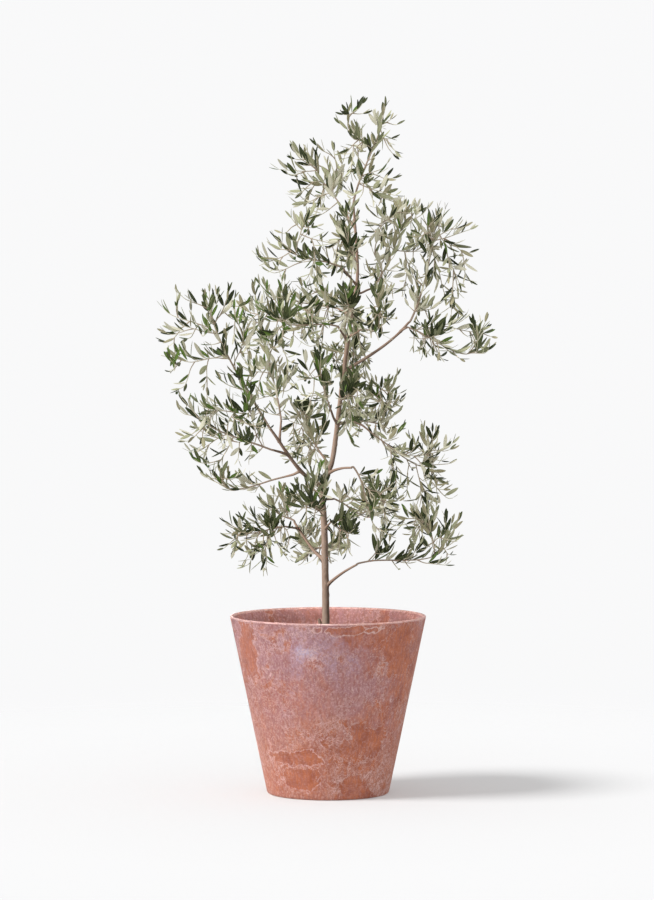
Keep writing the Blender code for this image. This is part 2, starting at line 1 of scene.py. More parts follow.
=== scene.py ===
"""The looks of a young olive tree in a clay pot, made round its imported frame.

Metres, +Z up, the front of the tree faces -Y. The limbs and the masses of foliage are the
frame's own. Twigs grow by the frame's rule, with a stronger upturn and a wider reach, and the
rule goes on to finer shoots, which carry leaves of their real size. Headings are degrees from
+X towards +Y, and rises are degrees above the level.
"""

import json
import math
import random
from collections import namedtuple
from functools import partial, reduce

import bmesh
import bpy
import numpy as np
from mathutils import Matrix, Vector, kdtree, noise

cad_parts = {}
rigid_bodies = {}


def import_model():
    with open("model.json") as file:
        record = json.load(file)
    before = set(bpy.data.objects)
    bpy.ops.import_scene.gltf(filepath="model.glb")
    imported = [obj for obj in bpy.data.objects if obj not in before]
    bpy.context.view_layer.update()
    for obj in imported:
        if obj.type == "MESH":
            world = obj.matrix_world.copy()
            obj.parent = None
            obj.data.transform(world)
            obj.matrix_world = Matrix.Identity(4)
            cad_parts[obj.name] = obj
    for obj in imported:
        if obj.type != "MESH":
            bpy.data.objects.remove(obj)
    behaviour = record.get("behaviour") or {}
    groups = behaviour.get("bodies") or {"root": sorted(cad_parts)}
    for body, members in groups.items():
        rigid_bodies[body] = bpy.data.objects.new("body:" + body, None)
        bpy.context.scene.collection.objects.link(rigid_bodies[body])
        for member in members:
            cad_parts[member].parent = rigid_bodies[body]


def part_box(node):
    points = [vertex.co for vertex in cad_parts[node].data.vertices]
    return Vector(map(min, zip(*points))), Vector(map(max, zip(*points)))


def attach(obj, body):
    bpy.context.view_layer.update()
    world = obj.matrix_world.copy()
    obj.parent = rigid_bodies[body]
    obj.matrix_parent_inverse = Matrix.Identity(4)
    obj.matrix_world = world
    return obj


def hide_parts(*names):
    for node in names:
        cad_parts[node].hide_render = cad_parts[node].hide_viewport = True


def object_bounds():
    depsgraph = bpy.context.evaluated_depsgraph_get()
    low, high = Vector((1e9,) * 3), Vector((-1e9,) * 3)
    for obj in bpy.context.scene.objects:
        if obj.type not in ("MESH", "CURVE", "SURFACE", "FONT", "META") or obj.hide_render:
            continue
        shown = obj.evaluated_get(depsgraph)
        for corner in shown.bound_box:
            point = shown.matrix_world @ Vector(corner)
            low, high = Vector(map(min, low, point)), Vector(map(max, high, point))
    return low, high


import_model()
cad_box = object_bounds()

# Pot and compost, from the frame
POT_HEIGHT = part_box("pot")[1].z
RIM_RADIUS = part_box("pot")[1].x
SOIL_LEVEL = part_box("soil")[1].z
TRUNK_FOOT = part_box("trunk")[0].z
FOOT_RADIUS = 0.1165
WALL = 0.009
FLOOR = 0.012
FOOT_FILLET = 0.005
INNER_FILLET = 0.012
RIM_ROUND = 0.0025
RIM_FLAT = 0.002
RIM_BEVEL_DEPTH = 0.0075
RIM_EASE = 0.0008
POT_SIDES = 192
POT_STEP = 0.010
POT_WANDER = 0.0004
GAP = 0.0003

# Trunk: height above the compost, and the middle's x and y there
TRUNK_STATIONS = (
    (0.000, -0.0044, 0.0000),
    (0.100, -0.0048, 0.0000),
    (0.220, -0.0074, -0.0020),
    (0.293, -0.0112, 0.0000),
    (0.335, 0.0064, 0.0020),
    (0.395, 0.0160, 0.0040),
    (0.510, 0.0296, 0.0000),
    (0.626, 0.0458, -0.0060),
    (0.700, 0.0562, -0.0020),
    (0.825, 0.0486, 0.0040),
)
TRUNK_RADII = (0.0071, 0.0066, 0.0060, 0.0048, 0.0042, 0.0036, 0.0030, 0.0021)
ROOT_FLARE = 0.0034
ROOT_FLARE_HEIGHT = 0.011
POINTS_PER_STATION = 3

# Boughs: the limb each leaves and where along it, as a share of its length, the place that its
# end comes to, its rises at its two ends, and the radii there
BOUGH_STEP = 0.028
Bough = namedtuple("Bough", "name parent share end rises radii")
BOUGHS = (
    Bough("left", "trunk", 0.35, (-0.110, -0.055, 0.700), (20, 50), (0.0042, 0.0026)),
    Bough("left_low", "left", 0.35, (-0.080, 0.020, 0.605), (-15, 0), (0.0026, 0.0020)),
    Bough("left_long", "left", 0.60, (-0.105, -0.080, 0.660), (15, 10), (0.0026, 0.0020)),
    Bough("left_inner", "left", 0.80, (-0.090, 0.015, 0.710), (30, 45), (0.0026, 0.0019)),
    Bough("low_left", "trunk", 0.18, (-0.065, 0.055, 0.515), (20, 45), (0.0032, 0.0021)),
    Bough("droop", "low_left", 0.85, (-0.080, -0.005, 0.510), (5, 5), (0.0021, 0.0017)),
    Bough("low_right", "trunk", 0.12, (0.055, -0.035, 0.440), (40, 25), (0.0030, 0.0019)),
    Bough("arch", "trunk", 0.38, (0.045, -0.050, 0.625), (25, 0), (0.0030, 0.0019)),
    Bough("mid_right", "trunk", 0.50, (0.055, 0.060, 0.710), (0, 5), (0.0031, 0.0021)),
    Bough("right_low", "mid_right", 0.80, (0.080, 0.050, 0.690), (-10, -45), (0.0021, 0.0017)),
    Bough("right", "trunk", 0.62, (0.155, 0.035, 0.900), (30, 50), (0.0032, 0.0022)),
    Bough("right_tip", "right", 0.85, (0.150, -0.015, 0.890), (15, 10), (0.0021, 0.0017)),
    Bough("inner_right", "trunk", 0.70, (0.060, -0.055, 0.885), (10, 15), (0.0024, 0.0017)),
    Bough("upper_right", "trunk", 0.80, (0.085, 0.060, 0.965), (-5, 5), (0.0023, 0.0017)),
    Bough("upper_left", "trunk", 0.95, (0.030, 0.035, 1.115), (40, 45), (0.0019, 0.0016)),
    Bough("left_top", "trunk", 0.82, (0.030, -0.040, 1.000), (25, 30), (0.0022, 0.0017)),
    Bough("centre_left", "trunk", 0.75, (0.020, 0.045, 0.925), (10, 10), (0.0023, 0.0017)),
    Bough("front", "trunk", 0.50, (0.005, -0.045, 0.735), (10, 40), (0.0026, 0.0019)),
    Bough("front_left", "trunk", 0.69, (0.020, -0.050, 0.890), (20, 20), (0.0024, 0.0018)),
    Bough("bottom", "trunk", 0.25, (0.005, -0.030, 0.520), (30, 20), (0.0021, 0.0017)),
    Bough("back", "trunk", 0.40, (-0.015, 0.040, 0.650), (25, 25), (0.0026, 0.0019)),
    Bough("back_right", "trunk", 0.32, (0.010, 0.045, 0.560), (5, 5), (0.0024, 0.0018)),
)

# Foliage masses: the limb each grows on and where along it, the middle and radii of the space
# that it keeps to, and the outermost tips it reaches, its stem's own tip first
Mass = namedtuple("Mass", "name limb share middle radii tips")
MASSES = (
    Mass("left_upper", "left", 1, (-0.225, -0.110, 0.870), (0.100, 0.075, 0.115),
         ((-0.235, -0.090, 0.975), (-0.320, -0.105, 0.875), (-0.265, -0.135, 0.925),
          (-0.290, -0.130, 0.830))),
    Mass("left_low", "left_low", 1, (-0.180, 0.110, 0.605), (0.070, 0.060, 0.045),
         ((-0.245, 0.100, 0.625), (-0.210, 0.135, 0.575))),
    Mass("left_long", "left_long", 1, (-0.205, -0.160, 0.730), (0.085, 0.065, 0.080),
         ((-0.280, -0.165, 0.785), (-0.215, -0.175, 0.665))),
    Mass("left_inner", "left_inner", 1, (-0.115, 0.120, 0.875), (0.065, 0.065, 0.135),
         ((-0.145, 0.130, 0.995), (-0.165, 0.155, 0.945))),
    Mass("low_left", "low_left", 1, (-0.085, 0.115, 0.565), (0.060, 0.060, 0.060),
         ((-0.125, 0.140, 0.585),)),
    Mass("droop", "droop", 1, (-0.135, -0.085, 0.505), (0.070, 0.060, 0.065),
         ((-0.200, -0.120, 0.555), (-0.190, -0.125, 0.505), (-0.130, -0.090, 0.450))),
    Mass("low_right", "low_right", 1, (0.175, -0.090, 0.510), (0.080, 0.065, 0.060),
         ((0.250, -0.095, 0.515), (0.205, -0.085, 0.460), (0.190, -0.090, 0.560),
          (0.140, -0.100, 0.450))),
    Mass("arch", "arch", 1, (0.115, -0.140, 0.555), (0.050, 0.060, 0.075),
         ((0.135, -0.155, 0.525),)),
    Mass("mid_right", "mid_right", 1, (0.100, 0.140, 0.745), (0.060, 0.065, 0.070),
         ((0.140, 0.160, 0.755), (0.120, 0.135, 0.800))),
    Mass("right_low", "right_low", 1, (0.185, 0.065, 0.625), (0.075, 0.065, 0.080),
         ((0.250, 0.070, 0.655), (0.205, 0.085, 0.695), (0.225, 0.060, 0.580))),
    Mass("right_top", "right", 1, (0.210, 0.060, 1.015), (0.070, 0.075, 0.120),
         ((0.210, 0.045, 1.130), (0.265, 0.070, 1.105), (0.275, 0.050, 1.010),
          (0.245, 0.070, 0.925))),
    Mass("right_tip", "right_tip", 1, (0.235, -0.095, 0.880), (0.085, 0.060, 0.050),
         ((0.320, -0.105, 0.880), (0.290, -0.085, 0.905), (0.235, -0.130, 0.850))),
    Mass("inner_right", "inner_right", 1, (0.095, -0.145, 0.925), (0.045, 0.060, 0.085),
         ((0.115, -0.160, 0.940),)),
    Mass("upper_right", "upper_right", 1, (0.135, 0.145, 1.055), (0.070, 0.075, 0.120),
         ((0.155, 0.135, 1.150), (0.200, 0.160, 1.075))),
    Mass("top", "trunk", 1, (0.075, 0.000, 1.225), (0.065, 0.075, 0.115),
         ((0.110, -0.015, 1.335), (0.030, 0.020, 1.305), (0.125, -0.040, 1.175))),
    Mass("upper_left", "upper_left", 1, (-0.025, 0.080, 1.175), (0.065, 0.070, 0.085),
         ((-0.040, 0.075, 1.255), (-0.085, 0.085, 1.220))),
    Mass("left_top", "left_top", 1, (-0.040, -0.110, 1.030), (0.075, 0.070, 0.090),
         ((-0.105, -0.125, 1.090), (-0.045, -0.115, 1.120), (-0.120, -0.110, 1.035))),
    Mass("centre_left", "centre_left", 1, (-0.050, 0.140, 0.930), (0.080, 0.065, 0.090),
         ((-0.120, 0.145, 1.005),)),
    Mass("front", "front", 1, (-0.015, -0.135, 0.795), (0.050, 0.060, 0.095),
         ((-0.020, -0.140, 0.865),)),
    Mass("front_left", "front_left", 1, (-0.065, -0.145, 0.920), (0.080, 0.060, 0.075),
         ((-0.130, -0.160, 0.955),)),
    Mass("bottom", "bottom", 1, (0.040, -0.115, 0.515), (0.045, 0.050, 0.060),
         ((0.050, -0.130, 0.545), (0.040, -0.115, 0.450), (-0.010, -0.090, 0.450))),
    Mass("back", "back", 1, (-0.045, 0.135, 0.695), (0.055, 0.065, 0.085),
         ((-0.055, 0.150, 0.765),)),
    Mass("back_right", "back_right", 1, (0.080, 0.140, 0.560), (0.060, 0.060, 0.065),
         ((0.125, 0.160, 0.560),)),
    Mass("mid_front", "trunk", 0.55, (0.040, -0.115, 0.775), (0.045, 0.060, 0.080),
         ((0.050, -0.150, 0.835),)),
    Mass("upper_front", "trunk", 0.87, (0.035, -0.090, 1.050), (0.045, 0.055, 0.085),
         ((0.030, -0.115, 1.110),)),
    Mass("upper_back", "trunk", 0.92, (0.020, 0.085, 1.065), (0.045, 0.055, 0.085),
         ((0.010, 0.110, 1.125),)),
    Mass("mid_back", "trunk", 0.65, (0.040, 0.110, 0.865), (0.045, 0.060, 0.090),
         ((0.055, 0.140, 0.930),)),
    Mass("centre_front", "trunk", 0.77, (0.040, -0.100, 0.935), (0.050, 0.055, 0.080),
         ((0.030, -0.135, 0.995),)),
    Mass("low_front", "trunk", 0.28, (-0.030, -0.110, 0.575), (0.050, 0.055, 0.070),
         ((-0.040, -0.140, 0.630),)),
    Mass("low_back", "trunk", 0.21, (-0.030, 0.110, 0.485), (0.065, 0.055, 0.055),
         ((-0.060, 0.145, 0.505), (-0.075, 0.100, 0.435))),
)

# How a mass's main shoots branch
SEED = 3
TIP_SPREAD = 0.060
TIP_TRIES = 60
TIP_DEPTHS = (0.60, 1.10)
MAIN_SHOOTS = 4
MAIN_OVERHANG = 0.057
STEM_STARTS = 14
STEM_STARTS_END = 0.9
SHOOT_STARTS = (0.3, 0.5, 0.7)
TURN_COST = 1.7
KEEPS_AHEAD = 0.7
LEAVING_PULL = 0.6
ARRIVING_PULL = 0.8
BARE_FOOT = 0.018
STEM_SUNK = 0.002
UPTURN = 0.8
TWIG_STEP = 0.030
STRETCH_SAMPLES = (0.34, 0.67, 1.0)
LEAST_PIECES = 2
SPACE_REACH = 2.4
SPACE_MARGIN = 0.015

# The finer shoots that the rule goes on to, until new tips would stand closer than the spread
FINE_SPREAD = 0.031
FINE_DEPTHS = (0.30, 1.20)
FINE_PULL = (0.25, 1.10)
FINE_MOST = 40
MASS_ROOM = 0.004
FINE_STEP = 0.014
FINE_LEAST = 0.015
SIDE_SPACING = 0.030
SIDE_ANGLES = (32, 52)
SIDE_LENGTHS = (0.026, 0.052)
SIDE_CHANCE = 0.35
SIDE_JITTER = 0.3
SIDE_TURN = math.radians(135)
STEM_EXTENSION = 0.030
WOOD_ROOM = 0.0025
WOOD_SPACING = 0.003

# Twig radii at the foot and the tip, and how young their bark is there, from 0 for old wood
STEM_RADII = (0.0017, 0.0008)
SHOOT_RADII = (0.0012, 0.0006)
SIDE_RADII = (0.0008, 0.0005)
STALK_RADII = (0.0005, 0.0004)
STEM_YOUTH = (0.0, 0.75)
SHOOT_YOUTH = (0.35, 0.95)
SIDE_YOUTH = (0.6, 1.0)

# Leaves, in opposite pairs that turn a quarter from one pair to the next
LEAF_LENGTH = 0.042
LEAF_WIDTH = 0.0098
PAIR_SPACING = 0.0185
PAIR_JITTER = 0.15
PAIR_TURN_JITTER = 0.25
FIRST_PAIR = 0.001
BARE_SHARE = 0.16
TIP_LEAF_SIZES = (0.55, 0.80, 0.95)
LEAF_SIZES = (0.72, 1.0)
LEAF_BREADTHS = (0.85, 1.15)
LEAF_ANGLES = (20, 46)
TIP_LEAF_ANGLES = (8, 20)
LEAF_LIFT = 1.4
LIFT_SPREAD = 0.7
LEAF_ROLL = 0.55
LEAF_ARCHES = (0.0, 0.10)
LEAF_LOSS = 0.10
LEAF_MARGIN = 0.0
LEAF_MIDDLE = 0.6
ACROSS_GUIDE = Vector((0.31, 0.17, 0.93))
EDGE_ROOM = 0.0015

# Fruit on short stalks
FRUIT_SHARE = 0.012
FRUIT_SIZES = (0.0042, 0.0062)
FRUIT_STRETCH = 1.3
FRUIT_STALK = 0.009

# How often each leaf tone comes on a spray: deep, mid, grey and fresh green
DEFAULT_TONES = (5, 5, 3, 1)
SPRAY_TONES = {
    "left_upper": (3, 5, 2, 4),
    "left_low": (3, 4, 3, 3),
    "left_long": (3, 5, 2, 4),
    "left_inner": (3, 5, 2, 4),
    "centre_left": (3, 4, 2, 4),
    "front_left": (3, 4, 2, 4),
    "left_top": (4, 4, 3, 2),
    "front": (4, 4, 4, 2),
    "low_left": (4, 4, 4, 2),
    "low_front": (4, 4, 4, 2),
}
STRAY_TONE = 0.70
BACK_TONES = (5, 4, 3)


def blend(values, share):
    """The value at this share of the way along an evenly spaced run of values."""
    place = share * (len(values) - 1)
    index = min(int(place), len(values) - 2)
    return values[index] + (values[index + 1] - values[index]) * (place - index)


def aim(heading, rise):
    heading = math.radians(heading)
    rise = math.radians(rise)
    level = math.cos(rise)
    return Vector((level * math.cos(heading), level * math.sin(heading), math.sin(rise)))


def curve(start, leaving, end, arriving, step):
    """The points of a smooth curve that sets out and comes in along the two given runs."""
    count = max(LEAST_PIECES, round((end - start).length / step))
    points = []
    for index in range(count + 1):
        t = index / count
        points.append(
            start * (2 * t**3 - 3 * t**2 + 1) + leaving * (t**3 - 2 * t**2 + t)
            + end * (3 * t**2 - 2 * t**3) + arriving * (t**3 - t**2)
        )
    return points


def smooth_through(stations, count):
    """Points of a smooth curve through the stations, with count of them to each stretch."""
    last = len(stations) - 1
    points = []
    for index in range(last):
        a, b, c, d = (stations[min(max(index + k, 0), last)] for k in (-1, 0, 1, 2))
        for part in range(count):
            t = part / count
            points.append(
                (2 * b + (c - a) * t + (2 * a - 5 * b + 4 * c - d) * t**2
                 + (3 * b - a - 3 * c + d) * t**3) / 2
            )
    return points + [stations[last]]


def lengths_along(points):
    lengths = [0.0]
    for start, end in zip(points, points[1:]):
        lengths.append(lengths[-1] + (end - start).length)
    return lengths


def point_at(points, share):
    """The point at this share of a path's length, and the way the path runs there."""
    lengths = lengths_along(points)
    wanted = share * lengths[-1]
    for index in range(len(points) - 1):
        if wanted <= lengths[index + 1] or index == len(points) - 2:
            run = points[index + 1] - points[index]
            return points[index] + run.normalized() * (wanted - lengths[index]), run.normalized()


def taper(points, radii):
    """The radius at each point, from the radii given evenly along the path."""
    lengths = lengths_along(points)
    return [blend(radii, length / lengths[-1]) for length in lengths]


def resampled(points, step):
    """The same path as a smooth curve with a point about every step."""
    longest = max((end - start).length for start, end in zip(points, points[1:]))
    return smooth_through(points, max(1, math.ceil(longest / step)))


def trunk_path():
    stations = [Vector((x, y, TRUNK_FOOT + height)) for height, x, y in TRUNK_STATIONS]
    return smooth_through(stations, POINTS_PER_STATION)


def bough_path(bough, start):
    """A bough that runs straight out to its end, and rises as it is given to on the way."""
    run = Vector(bough.end) - start
    heading = math.degrees(math.atan2(run.y, run.x))
    leaving, arriving = (aim(heading, rise) * run.length for rise in bough.rises)
    return curve(start, leaving, Vector(bough.end), arriving, BOUGH_STEP)


def limb_paths():
    """Each limb's points and radii by name. A bough starts on the middle line of its parent."""
    path = trunk_path()
    limbs = {"trunk": (path, taper(path, TRUNK_RADII))}
    for bough in BOUGHS:
        start, _ = point_at(limbs[bough.parent][0], bough.share)
        points = bough_path(bough, start)
        limbs[bough.name] = points, taper(points, bough.radii)
    return limbs


class Wood:
    """Where the trunk and boughs are, for new growth to keep off."""

    def __init__(self, limbs):
        spots = []
        for points, radii in limbs.values():
            count = max(2, round(lengths_along(points)[-1] / WOOD_SPACING))
            for index in range(count + 1):
                share = index / count
                spots.append((point_at(points, share)[0], blend(radii, share)))
        self.radii = [radius for _, radius in spots]
        self.tree = kdtree.KDTree(len(spots))
        for index, (point, _) in enumerate(spots):
            self.tree.insert(point, index)
        self.tree.balance()

    def clears(self, points):
        for point in points:
            _, index, apart = self.tree.find(point)
            if apart < self.radii[index] + WOOD_ROOM:
                return False
        return True


class Space:
    """The part of the crown that a mass keeps to: what the frame's own mass reaches, where it
    lies nearer to this middle than to any other mass's, measured against each one's radii."""

    middles = np.array([mass.middle for mass in MASSES])
    radii = np.array([mass.radii for mass in MASSES])
    low = np.array(cad_box[0]) + EDGE_ROOM
    high = np.array(cad_box[1]) - EDGE_ROOM

    def __init__(self, mass):
        self.index = MASSES.index(mass)
        box = np.array(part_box(f"foliage_{mass.name}"))
        self.least = np.maximum(self.low, box[0] - MASS_ROOM)
        self.most = np.minimum(self.high, box[1] + MASS_ROOM)

    def holds(self, points, margin=SPACE_MARGIN):
        points = np.array([tuple(point) for point in points])
        if (points < self.least).any() or (points > self.most).any():
            return False
        depths = np.sqrt((((points[:, None, :] - self.middles) / self.radii) ** 2).sum(2))
        own = depths[:, self.index].copy()
        depths[:, self.index] = math.inf
        return bool(((own < SPACE_REACH) & (own + margin < depths.min(1))).all())


def spread_tips(mass, space, tips, others, most, spread, depths, pull, rng):
    """These tips, and more that fill the mass's space evenly and keep off the other places. The
    pull draws them in from the front and back towards the middle of the tree."""
    tips = [Vector(tip) for tip in tips]
    while len(tips) < most:
        best, best_apart = None, 0.0
        for _ in range(TIP_TRIES):
            way = Vector((rng.gauss(0, 1), rng.gauss(0, 1), rng.gauss(0, 1))).normalized()
            depth = rng.uniform(*depths)
            tip = Vector(m + r * w * depth for m, r, w in zip(mass.middle, mass.radii, way))
            tip.y *= rng.uniform(*pull)
            if not space.holds([tip]):
                continue
            apart = min((tip - other).length for other in tips + others)
            if apart > best_apart:
                best, best_apart = tip, apart
        if best_apart < spread:
            break
        tips.append(best)
    return tips


def best_start(tip, wood):
    """The place on the wood that a shoot to this tip leaves most easily going forward."""
    best, least = None, math.inf
    for point, ahead, room in wood:
        to_tip = tip - point
        if to_tip.length < TWIG_STEP or not room:
            continue
        effort = to_tip.length * (TURN_COST - ahead.dot(to_tip.normalized()))
        if effort < least:
            best, least = (point, ahead), effort
    return best


def shoot_path(start, ahead, tip, overhang, step):
    """A curve that leaves its parent forward, and turns up as it comes to an overhang's length
    short of its tip."""
    to_tip = tip - start
    arriving = (to_tip.normalized() + Vector((0, 0, UPTURN))).normalized()
    end = tip - arriving * min(overhang, to_tip.length * 0.5)
    reach = (end - start).length
    leaving = (ahead * KEEPS_AHEAD + (end - start).normalized()) * reach * LEAVING_PULL
    return curve(start, leaving, end, arriving * reach * ARRIVING_PULL, step)


def clear_stretch(path, space, wood):
    """As much of a path from its start as stays in the space and off the limbs."""
    kept = [path[0]]
    for start, end in zip(path, path[1:]):
        ahead = [start.lerp(end, share) for share in STRETCH_SAMPLES]
        if not space.holds(ahead) or not wood.clears(ahead):
            break
        kept.append(end)
    return kept


def across_way(ahead, turn):
    """A way square to the twig, turned about it."""
    across = ahead.cross(ACROSS_GUIDE).normalized()
    across.rotate(Matrix.Rotation(turn, 3, ahead))
    return across


def leaf_way(ahead, turn, angle):
    """The way that a leaf or a side twig points from its twig."""
    angle = math.radians(angle)
    upward = Vector((0, 0, 1)) - ahead * ahead.z * LIFT_SPREAD
    lifted = across_way(ahead, turn) + upward * LEAF_LIFT
    return (ahead * math.cos(angle) + lifted * math.sin(angle)).normalized()


Twig = namedtuple("Twig", "path radii youth")
Leaf = namedtuple("Leaf", "root way face length width arch tone back")


def shoot_to(tip, overhang, wood_spots, space, wood, step):
    start, ahead = best_start(tip, wood_spots)
    return clear_stretch(shoot_path(start, ahead, tip, overhang, step), space, wood)


def extended(path, longer, space, wood):
    """A path carried on the way that it ends, as far as it stays clear."""
    ahead = (path[-1] - path[-2]).normalized()
    count = max(1, round(longer / FINE_STEP))
    more = [path[-1] + ahead * (longer * k / count) for k in range(1, count + 1)]
    return path + clear_stretch([path[-1]] + more, space, wood)[1:]


def stem_of(mass, limbs):
    """A mass's stem, from just inside the limb that it grows on."""
    points, _ = limbs[mass.limb]
    point, along_limb = point_at(points, mass.share)
    foot, ahead = point - along_limb * STEM_SUNK, along_limb
    if mass.share < 1:
        foot, ahead = point, (Vector(mass.middle) - point).normalized()
    first = point + ahead * BARE_FOOT / 3
    return [foot] + shoot_path(first, ahead, Vector(mass.tips[0]), MAIN_OVERHANG, TWIG_STEP)


def add_shoot(twigs, spots, path, radii, youth):
    """Keeps a shoot and the places on it that later ones may start from."""
    spots += [(*point_at(path, share), True) for share in SHOOT_STARTS]
    twigs.append(Twig(path, radii, youth))


def grow_main(mass, limbs, space, wood, rng):
    """A mass's stem and main shoots, and the places on them where finer shoots may start."""
    stem = stem_of(mass, limbs)
    _, limb_radii = limbs[mass.limb]
    foot_radius = limb_radii[-1] if mass.share == 1 else STEM_RADII[0]
    long_stem = extended(stem, STEM_EXTENSION, space, wood)
    twigs = [Twig(long_stem, (foot_radius, STEM_RADII[1]), STEM_YOUTH)]
    bare = BARE_FOOT / lengths_along(stem)[-1]
    spots = [
        (*point_at(stem, share), share > bare)
        for share in np.linspace(0, STEM_STARTS_END, STEM_STARTS)
    ]
    tips = spread_tips(
        mass, space, mass.tips[1:], stem, MAIN_SHOOTS, TIP_SPREAD, TIP_DEPTHS, (1, 1), rng
    )
    for tip in tips:
        path = shoot_to(tip, MAIN_OVERHANG, spots, space, wood, TWIG_STEP)
        if lengths_along(path)[-1] < TWIG_STEP / 2:
            continue
        longer = extended(path, MAIN_OVERHANG - LEAF_LENGTH * 0.6, space, wood)
        add_shoot(twigs, spots, longer, SHOOT_RADII, SHOOT_YOUTH)
    return twigs, spots


def grow_fine(mass, tip, index, spots, space, wood):
    """One finer shoot with its side twigs and leaves, or nothing where there is no room."""
    rng = random.Random(f"{SEED} {mass.name} {index}")
    path = shoot_to(tip, LEAF_LENGTH * 0.5, spots, space, wood, FINE_STEP)
    if lengths_along(path)[-1] < FINE_LEAST:
        return [], []
    twigs = [Twig(path, SHOOT_RADII, SHOOT_YOUTH)]
    twigs += side_twigs(twigs, space, wood, rng)
    return twigs, place_leaves(mass, twigs, space, wood, rng)


def grow_mass(mass, limbs, wood):
    """All of a mass's twigs and leaves."""
    space = Space(mass)
    rng = random.Random(f"{SEED} {mass.name}")
    twigs, spots = grow_main(mass, limbs, space, wood, rng)
    twigs += side_twigs(twigs, space, wood, rng)
    leaves = place_leaves(mass, twigs, space, wood, rng)
    taken = [twig.path[-1] for twig in twigs]
    tips = spread_tips(
        mass, space, [], taken, FINE_MOST, FINE_SPREAD, FINE_DEPTHS, FINE_PULL, rng
    )
    for index, tip in enumerate(tips):
        more, more_leaves = grow_fine(mass, tip, index, spots, space, wood)
        if more:
            add_shoot(twigs, spots, more[0].path, SHOOT_RADII, SHOOT_YOUTH)
            twigs += more[1:]
            leaves += more_leaves
    return twigs, leaves


def side_twigs(twigs, space, wood, rng):
    """Short twigs off the shoots, to alternate sides."""
    found = []
    for twig in twigs:
        total = lengths_along(twig.path)[-1]
        turn = rng.uniform(0, math.tau)
        for index in range(1, int(total / SIDE_SPACING)):
            turn += SIDE_TURN
            if rng.random() > SIDE_CHANCE:
                continue
            share = (index + rng.uniform(-SIDE_JITTER, SIDE_JITTER)) * SIDE_SPACING / total
            point, ahead = point_at(twig.path, share)
            way = leaf_way(ahead, turn, rng.uniform(*SIDE_ANGLES))
            length = rng.uniform(*SIDE_LENGTHS)
            bend = (way + Vector((0, 0, UPTURN))).normalized()
            path = [point, point + way * length * 0.5]
            path.append(path[-1] + bend * length * 0.5)
            if space.holds(path[1:]) and wood.clears(path[1:]):
                found.append(Twig(path, SIDE_RADII, SIDE_YOUTH))
    return found


def pair_places(path, rng):
    """Distances back from a path's tip at which leaf pairs grow."""
    total = lengths_along(path)[-1]
    places = []
    back = FIRST_PAIR
    while back < total * (1 - BARE_SHARE):
        places.append(1 - back / total)
        back += PAIR_SPACING * rng.uniform(1 - PAIR_JITTER, 1 + PAIR_JITTER)
    return places


def place_leaves(mass, twigs, space, wood, rng):
    """The leaves along a mass's twigs, toned by the spray that they grow on."""
    leaves = []
    tones = SPRAY_TONES.get(mass.name, DEFAULT_TONES)
    for twig in twigs:
        spray_tone = rng.choices(range(len(tones)), tones)[0]
        turn = rng.uniform(0, math.pi)
        for index, share in enumerate(pair_places(twig.path, rng)):
            point, ahead = point_at(twig.path, share)
            turn += math.pi / 2 + rng.uniform(-PAIR_TURN_JITTER, PAIR_TURN_JITTER)
            for side in (0, math.pi):
                if index and rng.random() < LEAF_LOSS:
                    continue
                angle = rng.uniform(*(LEAF_ANGLES if index else TIP_LEAF_ANGLES))
                size = rng.uniform(*LEAF_SIZES)
                if index < len(TIP_LEAF_SIZES):
                    size *= TIP_LEAF_SIZES[index]
                leaf = fitting_leaf(point, ahead, turn + side, angle, size, space, wood, rng)
                if leaf:
                    tone = spray_tone
                    if rng.random() < STRAY_TONE:
                        tone = rng.choices(range(len(tones)), tones)[0]
                    back = rng.choices(range(len(BACK_TONES)), BACK_TONES)[0]
                    leaves.append(Leaf(*leaf, tone, back))
    return leaves


def fitting_leaf(point, ahead, turn, angle, size, space, wood, rng):
    """A leaf's root, way, upper side, length, width and arch where one fits, or None."""
    way = leaf_way(ahead, turn, angle)
    length = LEAF_LENGTH * size
    width = LEAF_WIDTH * size * rng.uniform(*LEAF_BREADTHS)
    arch = rng.uniform(*LEAF_ARCHES)
    face = ahead - way * ahead.dot(way)
    face = face.normalized() if face.length > 0.05 else across_way(way, turn)
    face.rotate(Matrix.Rotation(rng.gauss(0, LEAF_ROLL), 3, way))
    tip = point + way * length
    middle = point + way * length * LEAF_MIDDLE
    if not space.holds([tip], LEAF_MARGIN) or not wood.clears([tip, middle]):
        return None
    return point, way, face, length, width, arch


# ---- Node trees ------------------------------------------------------------------------------


def feed(socket, value):
    """Sets a node's input to a value, or links it to another socket."""
    if isinstance(value, bpy.types.NodeSocket):
        socket.id_data.links.new(value, socket)
    else:
        socket.default_value = value


def node(tree, kind, inputs=None, out=0, **settings):
    """One output of a new node with these inputs and settings."""
    made = tree.nodes.new(kind)
    for name, value in settings.items():
        setattr(made, name, value)
    for name, value in (inputs or {}).items():
        feed(made.inputs[name], value)
    return made.outputs[out]


def maths(operation, *values, kind="ShaderNodeMath", out=0):
    """What an operation makes of sockets and numbers, in the tree that the sockets are in."""
    tree = next(value.id_data for value in values if isinstance(value, bpy.types.NodeSocket))
    return node(tree, kind, dict(enumerate(values)), out, operation=operation)


times = partial(maths, "MULTIPLY")
plus = partial(maths, "ADD")
minus = partial(maths, "SUBTRACT")
over = partial(maths, "DIVIDE")
larger = partial(maths, "MAXIMUM")
unsigned = partial(maths, "ABSOLUTE")
fraction = partial(maths, "FRACT")
on_vectors = {"kind": "ShaderNodeVectorMath"}


def scaled(vector, factor):
    return node(vector.id_data, "ShaderNodeVectorMath", {"Vector": vector, "Scale": factor},
                operation="SCALE")


def parts_of(vector):
    """A vector's X, Y and Z."""
    return node(vector.id_data, "ShaderNodeSeparateXYZ", {"Vector": vector}).node.outputs


